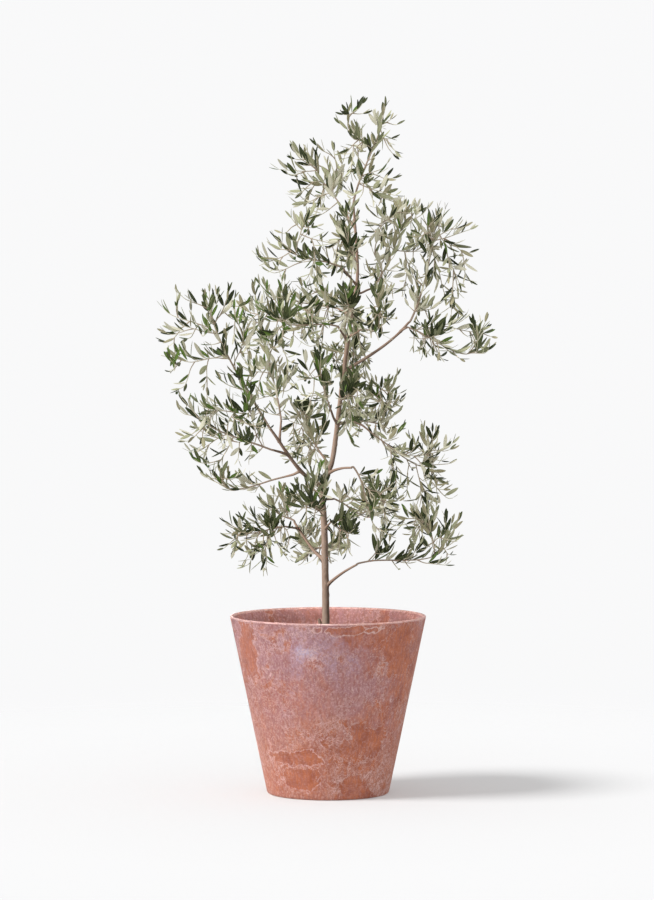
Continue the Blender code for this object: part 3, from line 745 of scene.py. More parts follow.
def joined(x, y, z=0.0):
    return node(x.id_data, "ShaderNodeCombineXYZ", {"X": x, "Y": y, "Z": z})


def spanned(value, low, high, to_low=0.0, to_high=1.0):
    """A value carried smoothly from one span to another and held to it."""
    return node(value.id_data, "ShaderNodeMapRange", {
        "Value": value, "From Min": low, "From Max": high, "To Min": to_low, "To Max": to_high,
    }, interpolation_type="SMOOTHSTEP")


# ---- Geometry from points and lines ----------------------------------------------------------


def geometry_tree(name):
    """A Geometry Nodes tree, the geometry that it is given and the socket for its result."""
    tree = bpy.data.node_groups.new(name, "GeometryNodeTree")
    for way in ("INPUT", "OUTPUT"):
        tree.interface.new_socket("Geometry", in_out=way, socket_type="NodeSocketGeometry")
    given, result = tree.nodes.new("NodeGroupInput"), tree.nodes.new("NodeGroupOutput")
    return tree, given.outputs[0], result.inputs[0]


def named(tree, name, kind="FLOAT"):
    """The socket of a named attribute."""
    return node(tree, "GeometryNodeInputNamedAttribute", {"Name": name}, data_type=kind)


def stored(geometry, name, value, kind, domain):
    return node(geometry.id_data, "GeometryNodeStoreNamedAttribute", {
        "Geometry": geometry, "Name": name, "Value": value,
    }, data_type=kind, domain=domain)


def set_on(points, instance, rotation, scale):
    """A copy of a geometry on every point, all made real."""
    placed = node(points.id_data, "GeometryNodeInstanceOnPoints", {
        "Points": points, "Instance": instance, "Rotation": rotation, "Scale": scale,
    })
    return node(points.id_data, "GeometryNodeRealizeInstances", {"Geometry": placed})


def painted(geometry, material, **inputs):
    return node(geometry.id_data, "GeometryNodeSetMaterial", {
        "Geometry": geometry, "Material": material, **inputs,
    })


def smooth(geometry):
    return node(geometry.id_data, "GeometryNodeSetShadeSmooth", {"Geometry": geometry})


def linked(name, mesh):
    made = bpy.data.objects.new(name, mesh)
    bpy.context.scene.collection.objects.link(made)
    return made


def grown_by(mesh, tree, name):
    """An object with the plain mesh that a tree makes of this mesh."""
    source = linked(mesh.name, mesh)
    source.modifiers.new(tree.name, "NODES").node_group = tree
    graph = bpy.context.evaluated_depsgraph_get()
    grown = bpy.data.meshes.new_from_object(source.evaluated_get(graph))
    grown.name = name
    bpy.data.objects.remove(source)
    return linked(name, grown)


def given_values(mesh, values, kind="FLOAT", domain="POINT"):
    """Gives a mesh attributes of one kind, from their lists of values by name."""
    for name, listed in values.items():
        layer = mesh.attributes.new(name, kind, domain).data
        if kind == "FLOAT_VECTOR":
            layer.foreach_set("vector", [x for value in listed for x in value])
        else:
            layer.foreach_set("value", listed)


def mesh_of(name, places, edges=()):
    mesh = bpy.data.meshes.new(name)
    mesh.from_pydata([tuple(place) for place in places], edges, [])
    return mesh


def taken_from(bm, name):
    """The mesh of a finished bmesh."""
    mesh = bpy.data.meshes.new(name)
    bm.to_mesh(mesh)
    bm.free()
    return mesh


# ---- Leaves ----------------------------------------------------------------------------------

LEAF_STATIONS = (0.0, 0.035, 0.07, 0.16, 0.30, 0.46, 0.62, 0.78, 0.91, 1.0)
PETIOLE_SHARE = 0.07
PETIOLE_WIDTH = 0.10
LEAF_THICKNESS = 0.012
LEAF_FOLD = 0.030
LEAF_FULLNESS = 0.60
LEAF_LEAN = 0.92
LEAF_THINNEST = 0.3
LEAF_SHARP_ANGLE = 60
BACK_CODE = 10.0
SAME_WITHIN = 0.1


def leaf_half_width(along):
    """The half width of a leaf of unit width, at this share of its length."""
    blade = (along - PETIOLE_SHARE) / (1 - PETIOLE_SHARE)
    if blade <= 0:
        return PETIOLE_WIDTH / 2
    width = math.sin(math.pi * blade**LEAF_LEAN) ** LEAF_FULLNESS
    return max(PETIOLE_WIDTH * (1 - along), width) / 2


def leaf_rows(bm):
    """The leaf's verts by station: its left edge, upper middle, right edge and lower middle.
    At its two ends the four are one."""
    along_layer = bm.verts.layers.float.new("along")
    rows = []
    for along in LEAF_STATIONS:
        half = leaf_half_width(along)
        rise = LEAF_FOLD * 2 * half
        middle = LEAF_THICKNESS / 2 * min(1.0, 4 * half + LEAF_THINNEST)
        if along in (0.0, 1.0):
            row = [bm.verts.new((0, 0, along))] * 4
        else:
            corners = ((-half, rise), (0, middle), (half, rise), (0, -middle))
            row = [bm.verts.new((x, y, along)) for x, y in corners]
        for vert in row:
            vert[along_layer] = along
        rows.append(row)
    return rows


def leaf_pattern():
    """One thin closed leaf of unit length along +Z and unit width, its upper side towards +Y."""
    bm = bmesh.new()
    rows = leaf_rows(bm)
    back_layer = bm.faces.layers.int.new("back_side")
    uv_layer = bm.loops.layers.uv.new("OFBake")
    across = (0.0, 0.5, 1.0, 0.5)
    for index in range(len(rows) - 1):
        for side in range(4):
            after = (side + 1) % 4
            corners = []
            for station, place in ((index, side), (index, after), (index + 1, after),
                                   (index + 1, side)):
                vert = rows[station][place]
                if not corners or vert is not corners[-1][0]:
                    corners.append((vert, across[place], LEAF_STATIONS[station]))
            if corners[0][0] is corners[-1][0]:
                corners.pop()
            face = bm.faces.new([vert for vert, _, _ in corners])
            face[back_layer] = int(side >= 2)
            face.smooth = True
            for loop, (_, u, v) in zip(face.loops, corners):
                loop[uv_layer].uv = (u, v)
    bmesh.ops.recalc_face_normals(bm, faces=bm.faces)
    mesh = taken_from(bm, "leaf_pattern")
    mesh.set_sharp_from_angle(angle=math.radians(LEAF_SHARP_ANGLE))
    pattern = linked("leaf_pattern", mesh)
    pattern.hide_render = True
    return pattern


def leaf_tree(pattern, uppers, backs):
    """Sets the leaf pattern on every point by its way, face and size, arches it along its
    length, and gives each side the material of its tone."""
    tree, points, result = geometry_tree("Leaves on shoots")
    face = named(tree, "face", "FLOAT_VECTOR")
    turned = node(tree, "FunctionNodeAxesToRotation", {
        "Primary Axis": named(tree, "way", "FLOAT_VECTOR"), "Secondary Axis": face,
    }, primary_axis="Z", secondary_axis="Y")
    leaf = node(tree, "GeometryNodeObjectInfo", {"Object": pattern}, "Geometry")
    leaves = set_on(points, leaf, turned, named(tree, "size", "FLOAT_VECTOR"))
    along = named(tree, "along")
    arched = node(tree, "GeometryNodeSetPosition", {
        "Geometry": leaves,
        "Offset": scaled(face, times(times(along, along), named(tree, "arch"))),
    })
    back_side = named(tree, "back_side", "INT")
    tone, back = named(tree, "tone", "INT"), named(tree, "back", "INT")
    column = node(tree, "GeometryNodeSwitch", {
        "Switch": back_side, "False": tone, "True": back,
    }, input_type="FLOAT")
    u, v, _ = parts_of(named(tree, "OFBake", "FLOAT_VECTOR"))
    on_map = joined(over(plus(u, column), float(TONE_COLUMNS)), over(plus(v, back_side), 2.0))
    last = stored(arched, "OFBake", on_map, "FLOAT2", "CORNER")
    for code, chosen, materials in ((0.0, tone, uppers), (BACK_CODE, back, backs)):
        wanted = plus(chosen, times(back_side, BACK_CODE))
        for index, material in enumerate(materials):
            same = node(tree, "FunctionNodeCompare", {
                "A": wanted, "B": index + code, "Epsilon": SAME_WITHIN,
            }, operation="EQUAL", data_type="FLOAT")
            last = painted(last, material, Selection=same)
    feed(result, last)
    return tree


def make_leaves(name, leaves, uppers, backs):
    spots = mesh_of("leaf_places", [leaf.root for leaf in leaves])
    given_values(spots, {
        "way": [leaf.way for leaf in leaves],
        "face": [leaf.face for leaf in leaves],
        "size": [(leaf.width, leaf.length, leaf.length) for leaf in leaves],
    }, "FLOAT_VECTOR")
    given_values(spots, {"arch": [-leaf.arch * leaf.length for leaf in leaves]})
    given_values(spots, {
        "tone": [leaf.tone for leaf in leaves], "back": [leaf.back for leaf in leaves],
    }, "INT")
    pattern = leaf_pattern()
    made = grown_by(spots, leaf_tree(pattern, uppers, backs), name)
    bpy.data.objects.remove(pattern)
    return made


# ---- Twigs, stalks and fruit -----------------------------------------------------------------

TWIG_SIDES = 6
TWIG_RING = 0.006
FRUIT_SEGMENTS = 14
FRUIT_RINGS = 10
FRUIT_SWING = 0.7
STALK_BEND = 0.4
FRUIT_SUNK = 0.46


def twig_tree(material):
    """Round tapering tubes along every line of the mesh, wound with a map of age by side."""
    tree, lines, result = geometry_tree("Tubes on lines")
    ring = node(tree, "GeometryNodeCurvePrimitiveCircle", {"Resolution": TWIG_SIDES, "Radius": 1.0})
    ring = stored(ring, "around", node(tree, "GeometryNodeSplineParameter"), "FLOAT", "POINT")
    tubes = node(tree, "GeometryNodeCurveToMesh", {
        "Curve": node(tree, "GeometryNodeMeshToCurve", {"Mesh": lines}),
        "Profile Curve": ring, "Scale": named(tree, "thickness"), "Fill Caps": True,
    })
    on_map = joined(named(tree, "youth"), named(tree, "around"))
    mapped = stored(tubes, "OFBake", on_map, "FLOAT2", "CORNER")
    feed(result, painted(smooth(mapped), material))
    return tree


def make_twigs(twigs, material):
    verts, edges, thickness, youth = [], [], [], []
    for twig in twigs:
        points = resampled(twig.path, TWIG_RING)
        first = len(verts)
        verts += points
        edges += [(first + k, first + k + 1) for k in range(len(points) - 1)]
        thickness += taper(points, twig.radii)
        youth += taper(points, twig.youth)
    mesh = mesh_of("twig_lines", verts, edges)
    given_values(mesh, {"thickness": thickness, "youth": youth})
    return grown_by(mesh, twig_tree(material), "twigs")


def fruit_tree(material):
    tree, points, result = geometry_tree("Fruit on points")
    ball = node(tree, "GeometryNodeMeshUVSphere", {
        "Segments": FRUIT_SEGMENTS, "Rings": FRUIT_RINGS, "Radius": 0.5,
    })
    long = node(tree, "GeometryNodeTransform", {"Geometry": ball, "Scale": (1, 1, FRUIT_STRETCH)})
    turned = node(tree, "FunctionNodeAlignRotationToVector", {
        "Vector": named(tree, "way", "FLOAT_VECTOR"),
    }, axis="Z")
    fruit = set_on(points, long, turned, named(tree, "size", "FLOAT_VECTOR"))
    feed(result, painted(smooth(fruit), material))
    return tree


def hang_fruit(leaves, rng):
    """Fruit that hangs by the roots of some leaves: its places, and the stalks it hangs on."""
    fruit, stalks = [], []
    for leaf in leaves:
        if rng.random() > FRUIT_SHARE:
            continue
        swing = [rng.uniform(-FRUIT_SWING, FRUIT_SWING) for _ in range(2)]
        way = Vector((*swing, -1)).normalized()
        bend = leaf.root + (leaf.way + way * STALK_BEND).normalized() * FRUIT_STALK * 0.5
        size = rng.uniform(*FRUIT_SIZES)
        top = bend + way * FRUIT_STALK * 0.5
        stalks.append(Twig([leaf.root, bend, top], STALK_RADII, SIDE_YOUTH))
        fruit.append((top + way * size * FRUIT_STRETCH * FRUIT_SUNK, way, size))
    return fruit, stalks


def make_fruit(fruit, material):
    spots = mesh_of("fruit_places", [place for place, _, _ in fruit])
    given_values(spots, {
        "way": [way for _, way, _ in fruit], "size": [[size] * 3 for _, _, size in fruit],
    }, "FLOAT_VECTOR")
    return grown_by(spots, fruit_tree(material), "olives")


# ---- Finishes --------------------------------------------------------------------------------


def shader_group(name, inputs, *outputs):
    """A shader node group, the sockets it is given, with their usual values, and its results."""
    tree = bpy.data.node_groups.new(name, "ShaderNodeTree")
    for label, value in inputs.items():
        kind = "Vector" if isinstance(value, tuple) else "Float"
        made = tree.interface.new_socket(label, in_out="INPUT", socket_type=f"NodeSocket{kind}")
        made.default_value = value
    for label in outputs:
        tree.interface.new_socket(label, in_out="OUTPUT", socket_type="NodeSocketFloat")
    given, results = tree.nodes.new("NodeGroupInput"), tree.nodes.new("NodeGroupOutput")
    return tree, given.outputs, results.inputs


def grain_group():
    """Cloudy noise in stretched coordinates, cut to a mask between two levels."""
    tree, given, results = shader_group("Grain", {
        "Vector": (0, 0, 0), "Stretch": (1, 1, 1), "Scale": 10.0, "Detail": 4.0,
        "Roughness": 0.6, "Distortion": 0.0, "Low": 0.35, "High": 0.65,
    }, "Mask", "Noise")
    cloud = node(tree, "ShaderNodeTexNoise", {
        "Vector": times(given["Vector"], given["Stretch"], **on_vectors),
        **{name: given[name] for name in ("Scale", "Detail", "Roughness", "Distortion")},
    })
    feed(results["Mask"], spanned(cloud, given["Low"], given["High"]))
    feed(results["Noise"], cloud)
    return tree


def vein_group():
    """Thin wandering lines where a noise crosses its middle, broken by a second noise."""
    tree, given, results = shader_group("Veins", {
        "Vector": (0, 0, 0), "Scale": 20.0, "Width": 0.02, "Detail": 2.0, "Wander": 1.0,
        "Cover": 0.5,
    }, "Mask")
    cloud = node(tree, "ShaderNodeTexNoise", {
        "Vector": given["Vector"], "Scale": given["Scale"], "Detail": given["Detail"],
        "Roughness": 0.55, "Distortion": given["Wander"],
    })
    line = spanned(unsigned(minus(cloud, 0.5)), 0.0, given["Width"], 1.0, 0.0)
    parts = node(tree, "ShaderNodeTexNoise", {
        "Vector": given["Vector"], "Scale": times(given["Scale"], 0.55), "Detail": 3.0,
    })
    level = minus(0.72, times(given["Cover"], 0.4))
    feed(results["Mask"], times(line, spanned(parts, level, plus(level, 0.12))))
    return tree


def blot_group():
    """A patch at a place, of a size along each axis, with a ragged edge."""
    tree, given, results = shader_group("Blot", {
        "Vector": (0, 0, 0), "Centre": (0, 0, 0), "Size": (0.1, 0.1, 0.1), "Edge": 0.3,
        "Rag": 0.5, "Line": 0.06,
    }, "Mask", "Rim")
    off = minus(given["Vector"], given["Centre"], **on_vectors)
    far = maths("LENGTH", over(off, given["Size"], **on_vectors), out="Value", **on_vectors)
    cloud = node(tree, "ShaderNodeTexNoise", {
        "Vector": given["Vector"], "Scale": 26.0, "Detail": 5.0, "Roughness": 0.65,
        "Distortion": 0.8,
    })
    far = plus(far, times(minus(cloud, 0.5), times(given["Rag"], 4.0)))
    feed(results["Mask"], spanned(far, minus(1.0, given["Edge"]), 1.0, 1.0, 0.0))
    feed(results["Rim"], spanned(unsigned(minus(far, 1.0)), 0.0, given["Line"], 1.0, 0.0))
    return tree


GRAIN = grain_group()
VEINS = vein_group()
BLOT = blot_group()


def shared(group, at, out="Mask", **inputs):
    """One output of a shared node group, placed in a material with its own values."""
    made = at.id_data.nodes.new("ShaderNodeGroup")
    made.node_tree = group
    for name, value in {"Vector": at, **inputs}.items():
        feed(made.inputs[name], value)
    return made.outputs[out]


def grain(at, scale, detail, low, high, out="Mask", **more):
    return shared(GRAIN, at, out, Scale=scale, Detail=detail, Low=low, High=high, **more)


def mixed(share, first, second, blend_type="MIX"):
    """The first colour gone over to the second by a share."""
    wanted = {"Factor_Float": share, "A_Color": first, "B_Color": second}
    tree = next(v.id_data for v in wanted.values() if isinstance(v, bpy.types.NodeSocket))
    made = tree.nodes.new("ShaderNodeMix")
    made.data_type = "RGBA"
    made.blend_type = blend_type
    for socket in made.inputs:
        if socket.identifier in wanted:
            value = wanted[socket.identifier]
            feed(socket, (*value, 1.0) if isinstance(value, tuple) else value)
    return next(out for out in made.outputs if out.identifier == "Result_Color")


def material_tree(name):
    """A new material, its emptied tree, and the socket for its surface."""
    material = bpy.data.materials.new(name)
    material.use_nodes = True
    tree = material.node_tree
    tree.nodes.clear()
    return material, tree, tree.nodes.new("ShaderNodeOutputMaterial").inputs["Surface"]


def finish(name, roughness, specular):
    """A new material with its Principled shader's inputs, and the tree to feed them from."""
    material, tree, surface = material_tree(name)
    shader = node(tree, "ShaderNodeBsdfPrincipled", {
        "Specular IOR Level": specular, "Roughness": roughness,
    })
    feed(surface, shader)
    return material, tree, shader.node.inputs


def coloured(shader, colour, height, distance, strength):
    """Feeds the shader's colour, and its normal from a height in metres of distance."""
    feed(shader["Base Color"], colour)
    feed(shader["Normal"], node(height.id_data, "ShaderNodeBump", {
        "Height": height, "Distance": distance, "Strength": strength,
    }))


ORANGE_CLAY = (0.500, 0.170, 0.080)
DEEP_CLAY = (0.330, 0.096, 0.048)
SALMON_BLOOM = (0.525, 0.230, 0.152)
MAUVE_BLOOM = (0.425, 0.235, 0.248)
LILAC_BLOOM = (0.540, 0.480, 0.640)
SHADED_BLOOM = (0.300, 0.128, 0.118)
# Pale veins and specks, and the painted highlight along the rim
PALE_VEIN_AND_HIGHLIGHT = (0.740, 0.540, 0.500)

# Patches of the pot's outside: bare clay, painted shade or bloom, with each one's centre, size and
# weight
BARE_PATCHES_AND_PAINTED_SHADE = (
    ((-0.150, -0.075, 0.270), (0.022, 0.060, 0.075), 0.85),
    ((0.040, -0.175, 0.327), (0.062, 0.050, 0.009), 0.95),
    # Painted shade: this bare patch also darkens the upper right, the side away from the key light
    ((0.128, -0.115, 0.285), (0.036, 0.070, 0.055), 0.85),
    ((0.075, -0.125, 0.110), (0.060, 0.060, 0.030), 0.80),
    ((-0.060, -0.120, 0.080), (0.060, 0.050, 0.014), 0.85),
    ((-0.050, -0.110, 0.040), (0.036, 0.050, 0.022), 0.85),
    ((0.048, -0.110, 0.010), (0.042, 0.050, 0.034), 0.95),
    ((0.120, 0.110, 0.120), (0.080, 0.060, 0.050), 0.85),
    ((-0.060, 0.150, 0.270), (0.060, 0.060, 0.050), 0.85),
    ((-0.110, 0.060, 0.060), (0.050, 0.060, 0.040), 0.85),
)
THIN_PATCHES_AND_PAINTED_SHADE = (
    # Painted shade: this broad patch thins the bloom and darkens the whole right side, away from
    # the key light
    ((0.175, -0.080, 0.230), (0.150, 0.150, 0.230), 0.75),
    ((0.070, -0.120, 0.090), (0.150, 0.100, 0.085), 0.70),
    ((-0.080, -0.110, 0.050), (0.080, 0.100, 0.055), 0.40),
    ((0.110, 0.150, 0.090), (0.120, 0.100, 0.120), 0.50),
)
INNER_PATCHES = (
    ((-0.110, 0.125, 0.300), (0.012, 0.050, 0.060), 0.60),
    ((0.105, 0.125, 0.300), (0.016, 0.050, 0.060), 0.60),
    ((0.150, -0.060, 0.310), (0.040, 0.040, 0.040), 0.50),
    ((-0.060, -0.160, 0.310), (0.050, 0.040, 0.040), 0.50),
)
# Where clay was wiped in a fan: the place it spreads from, its top and its end, and its weight
FANS = (
    (0.050, 0.046, 0.031, -0.050, 1.60),
    (0.100, 0.400, 0.350, 0.265, 0.85),
    (-0.120, 0.300, 0.230, 0.150, 0.45),
)
OUTSIDE_TINT = (0.97, 0.90, 0.90)
# Painted light: the inside's tint lifts its clay well above the outside's, standing in for light
# inside the pot
INSIDE_PAINTED_LIGHT_TINT = (1.30, 1.16, 1.10)
BLOOM_PATCHES = (
    ((-0.044, -0.165, 0.284), (0.034, 0.060, 0.028), 0.95),
    ((-0.020, -0.165, 0.285), (0.110, 0.090, 0.065), 0.36),
    ((-0.045, -0.150, 0.190), (0.070, 0.060, 0.070), 0.16),
    ((0.140, 0.090, 0.280), (0.090, 0.100, 0.060), 0.60),
    ((-0.120, 0.110, 0.220), (0.070, 0.080, 0.070), 0.60),
)
CLAY_LEVEL = 0.82
OUTSIDE_WEAR = 1.0
INSIDE_WEAR = 0.35


def clay(name, patches, thin, blooms, fans, tint_and_painted_light, wear):
    """Fired clay under a chalky bloom that has worn and run: bare where it wore through, lilac
    where it lies thick, and pale along the edges of the wear."""
    material, tree, shader = finish(name, 0.5, 0.22)
    at = node(tree, "ShaderNodeTexCoord", out="Object")
    across, _, height = parts_of(at)

    def about_middle(mask, share):
        return times(minus(mask, 0.5), share)

    def patch(centre, size, edge, rag, out="Mask"):
        return shared(BLOT, at, out, Centre=centre, Size=size, Edge=edge, Rag=rag,
                      Line=0.0014 / min(size))

    def bare_and_painted_shade_patches(out):
        return [times(patch(place, size, 0.14, 0.8, out), weight)
                for place, size, weight in patches]

    def fan(apex_x, apex_z, top, end):
        """A wedge that spreads down from a place, in rays."""
        slope = over(minus(across, apex_x), larger(minus(apex_z, height), 0.002))
        rays = grain(joined(slope, height, apex_x), 5.5, 3.0, 0.36, 0.56)
        inside = times(spanned(unsigned(slope), 0.90, 1.0, 1.0, 0.0),
                       spanned(height, top - 0.001, top + 0.001, 1.0, 0.0))
        inside = times(inside, spanned(height, end, end + 0.04))
        return times(inside, plus(times(rays, 0.45), 0.55))

    cloud = grain(at, 15.0, 6.0, 0.36, 0.64, Distortion=0.7, Stretch=(1.0, 1.0, 0.8))
    streaks = grain(at, 230.0, 3.0, 0.42, 0.58, Roughness=0.6, Stretch=(1.0, 1.0, 0.10))
    runs = grain(at, 36.0, 3.0, 0.40, 0.62, Stretch=(1.0, 1.0, 0.14))
    worn, edges = (grain(at, 24.0, 5.0, 0.550, 0.580, out, Roughness=0.58, Distortion=1.5)
                   for out in ("Mask", "Noise"))
    wear_rim = spanned(unsigned(minus(edges, 0.550)), 0.0, 0.018, 1.0, 0.0)

    busy = times(grain(at, 12.0, 2.0, 0.46, 0.58), wear)
    # The bare mask also carries the painted shade at the upper right
    bare = reduce(larger, bare_and_painted_shade_patches("Mask")
                  + [times(fan(*spread), weight) for *spread, weight in fans])
    bare_rim = reduce(larger, bare_and_painted_shade_patches("Rim"))
    bloom = plus(about_middle(cloud, 0.34), CLAY_LEVEL)
    bloom = plus(bloom, about_middle(streaks, 0.14))
    bloom = plus(bloom, about_middle(runs, 0.24))
    bloom = minus(bloom, times(times(worn, busy), 0.55))
    # The thin patches thin the bloom; the broad one over the right side is painted shade there
    for place, size, weight in thin:
        bloom = minus(bloom, times(patch(place, size, 0.9, 0.3), weight))
    thick = reduce(larger, [times(patch(place, size, 0.9, 0.7), weight)
                            for place, size, weight in blooms], 0.0)
    bloom = spanned(maths("MULTIPLY_ADD", thick, 0.20, bloom), 0.0, 0.9)
    covered = minus(1.0, maths("MINIMUM", bare, 0.96))
    bloom = times(bloom, covered)

    deep = grain(at, 30.0, 6.0, 0.42, 0.70, Roughness=0.62, Distortion=0.8)
    mauve = spanned(plus(height, about_middle(cloud, 0.08)), 0.08, 0.27)
    colour = mixed(bloom, mixed(deep, ORANGE_CLAY, DEEP_CLAY),
                   mixed(mauve, SALMON_BLOOM, MAUVE_BLOOM))
    colour = mixed(times(streaks, 0.40), colour, SHADED_BLOOM)
    chalk = grain(at, 110.0, 5.0, 0.42, 0.58, Roughness=0.70, Distortion=1.6)
    colour = mixed(times(thick, plus(times(chalk, 0.55), 0.45)), colour, LILAC_BLOOM)

    veins = shared(VEINS, at, Scale=34.0, Width=0.021, Detail=4.0, Wander=2.2, Cover=0.75)
    hairs = shared(VEINS, at, Scale=105.0, Width=0.062, Detail=2.0, Wander=2.0, Cover=0.80)
    # Painted highlight: a pale band round the rim's rounded outer edge, where it catches the light
    rim_painted_highlight = spanned(height, POT_HEIGHT - 0.0040, POT_HEIGHT - 0.0028)
    lines = larger(times(veins, 0.72 * wear), times(hairs, plus(times(busy, 0.56), 0.14 * wear)))
    lines = larger(lines, times(times(wear_rim, busy), 0.86))
    lines = larger(times(lines, plus(times(covered, 0.75), 0.25)), times(bare_rim, 0.90))
    lines = larger(lines, times(rim_painted_highlight, plus(times(chalk, 0.4), 0.4)))
    specks = times(grain(at, 250.0, 2.0, 0.52, 0.62), plus(times(bloom, 0.26), 0.10))
    dints = grain(at, 200.0, 3.0, 0.52, 0.62, Roughness=0.6, Stretch=(1.0, 1.0, 0.5))
    colour = mixed(specks, mixed(lines, colour, PALE_VEIN_AND_HIGHLIGHT), PALE_VEIN_AND_HIGHLIGHT)
    # The tint gives the clay its tone; on the inside it is painted light that brightens the clay
    colour = mixed(1.0, mixed(times(dints, 0.36), colour, DEEP_CLAY), tint_and_painted_light, "MULTIPLY")
    feed(shader["Roughness"], plus(times(bloom, 0.16), 0.60))
    relief = plus(plus(times(specks, 0.8), lines), times(bloom, 0.35))
    coloured(shader, colour, minus(relief, times(dints, 0.7)), 0.0006, 0.6)
    return material


GREY_BARK = (0.205, 0.150, 0.114)
WARM_BARK = (0.150, 0.088, 0.058)
PALE_BARK = (0.310, 0.250, 0.205)
DARK_BARK = (0.065, 0.040, 0.028)
TWIG_SHADE = (0.150, 0.100, 0.065)
TWIG_COLOURS = (
    (0.0, (0.340, 0.250, 0.195)),
    (0.35, (0.420, 0.325, 0.245)),
    (0.65, (0.600, 0.540, 0.400)),
    (1.0, (0.660, 0.650, 0.440)),
)


def bark():
    """Smooth young bark, greyer where it is old, with a fine lengthwise grain and pale pores.
    It reads each limb's own grain attribute, whose Z runs along the limb."""
    material, tree, shader = finish("young_bark", 0.82, 0.30)
    at = node(tree, "ShaderNodeAttribute", out="Vector", attribute_name="grain")
    age = node(tree, "ShaderNodeAttribute", out="Fac", attribute_name="age")
    fibres = grain(at, 900.0, 4.0, 0.28, 0.72, Roughness=0.65, Stretch=(1.0, 1.0, 0.10))
    blotches = grain(at, 120.0, 4.0, 0.36, 0.62, Stretch=(1.0, 1.0, 0.45))
    pores = grain(at, 560.0, 1.0, 0.66, 0.76, Stretch=(0.6, 0.6, 1.5))
    cracks = grain(at, 300.0, 5.0, 0.60, 0.72, Roughness=0.7, Stretch=(1.0, 1.0, 0.22))
    colour = mixed(minus(1.0, times(age, 0.75)), GREY_BARK, WARM_BARK)
    colour = mixed(times(fibres, 0.35), colour, PALE_BARK)
    colour = mixed(times(blotches, 0.45), colour, WARM_BARK)
    colour = mixed(times(pores, 0.75), colour, PALE_BARK)
    colour = mixed(times(cracks, 0.6), colour, DARK_BARK)
    coloured(shader, colour, minus(plus(fibres, times(pores, 0.8)), cracks), 0.0004, 0.6)
    return material


def twig_bark():
    """Bark that goes from grey-brown on the old wood to pale green on this year's shoots, by
    the age that runs along each twig's own map."""
    material, tree, shader = finish("twig_bark", 0.70, 0.30)
    at = node(tree, "ShaderNodeUVMap", uv_map="OFBake")
    by_youth = node(tree, "ShaderNodeValToRGB", {"Fac": parts_of(at)["X"]})
    stops = by_youth.node.color_ramp.elements
    stops.remove(stops[-1])
    for index, (place, colour) in enumerate(TWIG_COLOURS):
        stop = stops.new(place) if index else stops[0]
        stop.position = place
        stop.color = (*colour, 1.0)
    mottle = grain(at, 40.0, 4.0, 0.35, 0.7, Stretch=(1.0, 0.25, 1.0))
    coloured(shader, mixed(times(mottle, 0.28), by_youth, TWIG_SHADE), mottle, 0.0002, 0.4)
    return material


# Leaf tones: name, colour, its darker mottling, and its midrib
UPPER_SIDES = (
    ("leaf_deep", (0.030, 0.040, 0.014), (0.018, 0.026, 0.009), (0.085, 0.105, 0.040)),
    ("leaf_mid", (0.078, 0.098, 0.036), (0.048, 0.064, 0.022), (0.165, 0.185, 0.080)),
    ("leaf_grey", (0.190, 0.205, 0.110), (0.125, 0.140, 0.072), (0.300, 0.310, 0.180)),
    ("leaf_fresh", (0.105, 0.180, 0.030), (0.064, 0.122, 0.020), (0.210, 0.280, 0.080)),
)
BACK_SIDES = (
    ("back_silver", (0.660, 0.635, 0.500), (0.560, 0.540, 0.410), (0.740, 0.715, 0.560)),
    ("back_sage", (0.450, 0.455, 0.285), (0.350, 0.360, 0.215), (0.560, 0.560, 0.390)),
    ("back_beige", (0.390, 0.360, 0.225), (0.290, 0.265, 0.160), (0.510, 0.475, 0.325)),
)
TONE_COLUMNS = 4

# Roughness and specular level of the two sides
UPPER_GLOSS = (0.50, 0.16)
BACK_GLOSS = (0.80, 0.12)


def leaf_side(name, colour, darker, rib, roughness, specular):
    """One side of a leaf: a pale midrib with faint side veins, and mottling along the blade,
    laid on the leaf's own map, where each tone has a column."""
    material, tree, shader = finish(name, roughness, specular)
    at = node(tree, "ShaderNodeUVMap", uv_map="OFBake")
    u, v, _ = parts_of(at)
    off = unsigned(minus(fraction(times(u, TONE_COLUMNS)), 0.5))
    midrib = spanned(off, 0.02, 0.09, 1.0, 0.0)
    slant = minus(fraction(times(v, 2.0)), times(off, 0.35))
    ribs = unsigned(minus(fraction(times(slant, 11.0)), 0.5))
    side_veins = spanned(ribs, 0.0, 0.12, 0.35, 0.0)
    mottle = grain(at, 9.0, 5.0, 0.3, 0.7, Stretch=(8.0, 2.0, 1.0))
    shade = larger(times(mottle, 0.6), spanned(off, 0.36, 0.5, 0.0, 0.5))
    tinted = mixed(larger(midrib, side_veins), mixed(shade, colour, darker), rib)
    coloured(shader, tinted, plus(mottle, times(midrib, 1.5)), 0.00015, 0.5)
    return material


def olive_skin():
    """Green to dark skin with pale dots."""
    material, tree, shader = finish("olive_skin", 0.38, 0.45)
    at = node(tree, "ShaderNodeTexCoord", out="Object")
    dots = grain(at, 2600.0, 1.0, 0.62, 0.7)
    colour = mixed(grain(at, 90.0, 3.0, 0.4, 0.62), (0.060, 0.105, 0.022), (0.028, 0.042, 0.020))
    colour = mixed(times(dots, 0.5), colour, (0.25, 0.30, 0.12))
    coloured(shader, colour, dots, 0.0001, 0.3)
    return material


def compost():
    """Dark moist compost with paler crumbs and specks of bark fibre."""
    material, tree, shader = finish("compost", 0.95, 0.2)
    at = node(tree, "ShaderNodeTexCoord", out="Object")
    crumbs = grain(at, 160.0, 6.0, 0.35, 0.68, Roughness=0.75)
    fibres = grain(at, 420.0, 2.0, 0.66, 0.74, Stretch=(1.0, 0.25, 1.0))
    colour = mixed(crumbs, (0.020, 0.013, 0.008), (0.095, 0.060, 0.036))
    colour = mixed(times(fibres, 0.7), colour, (0.230, 0.155, 0.090))
    coloured(shader, colour, crumbs, 0.0015, 0.8)
    return material


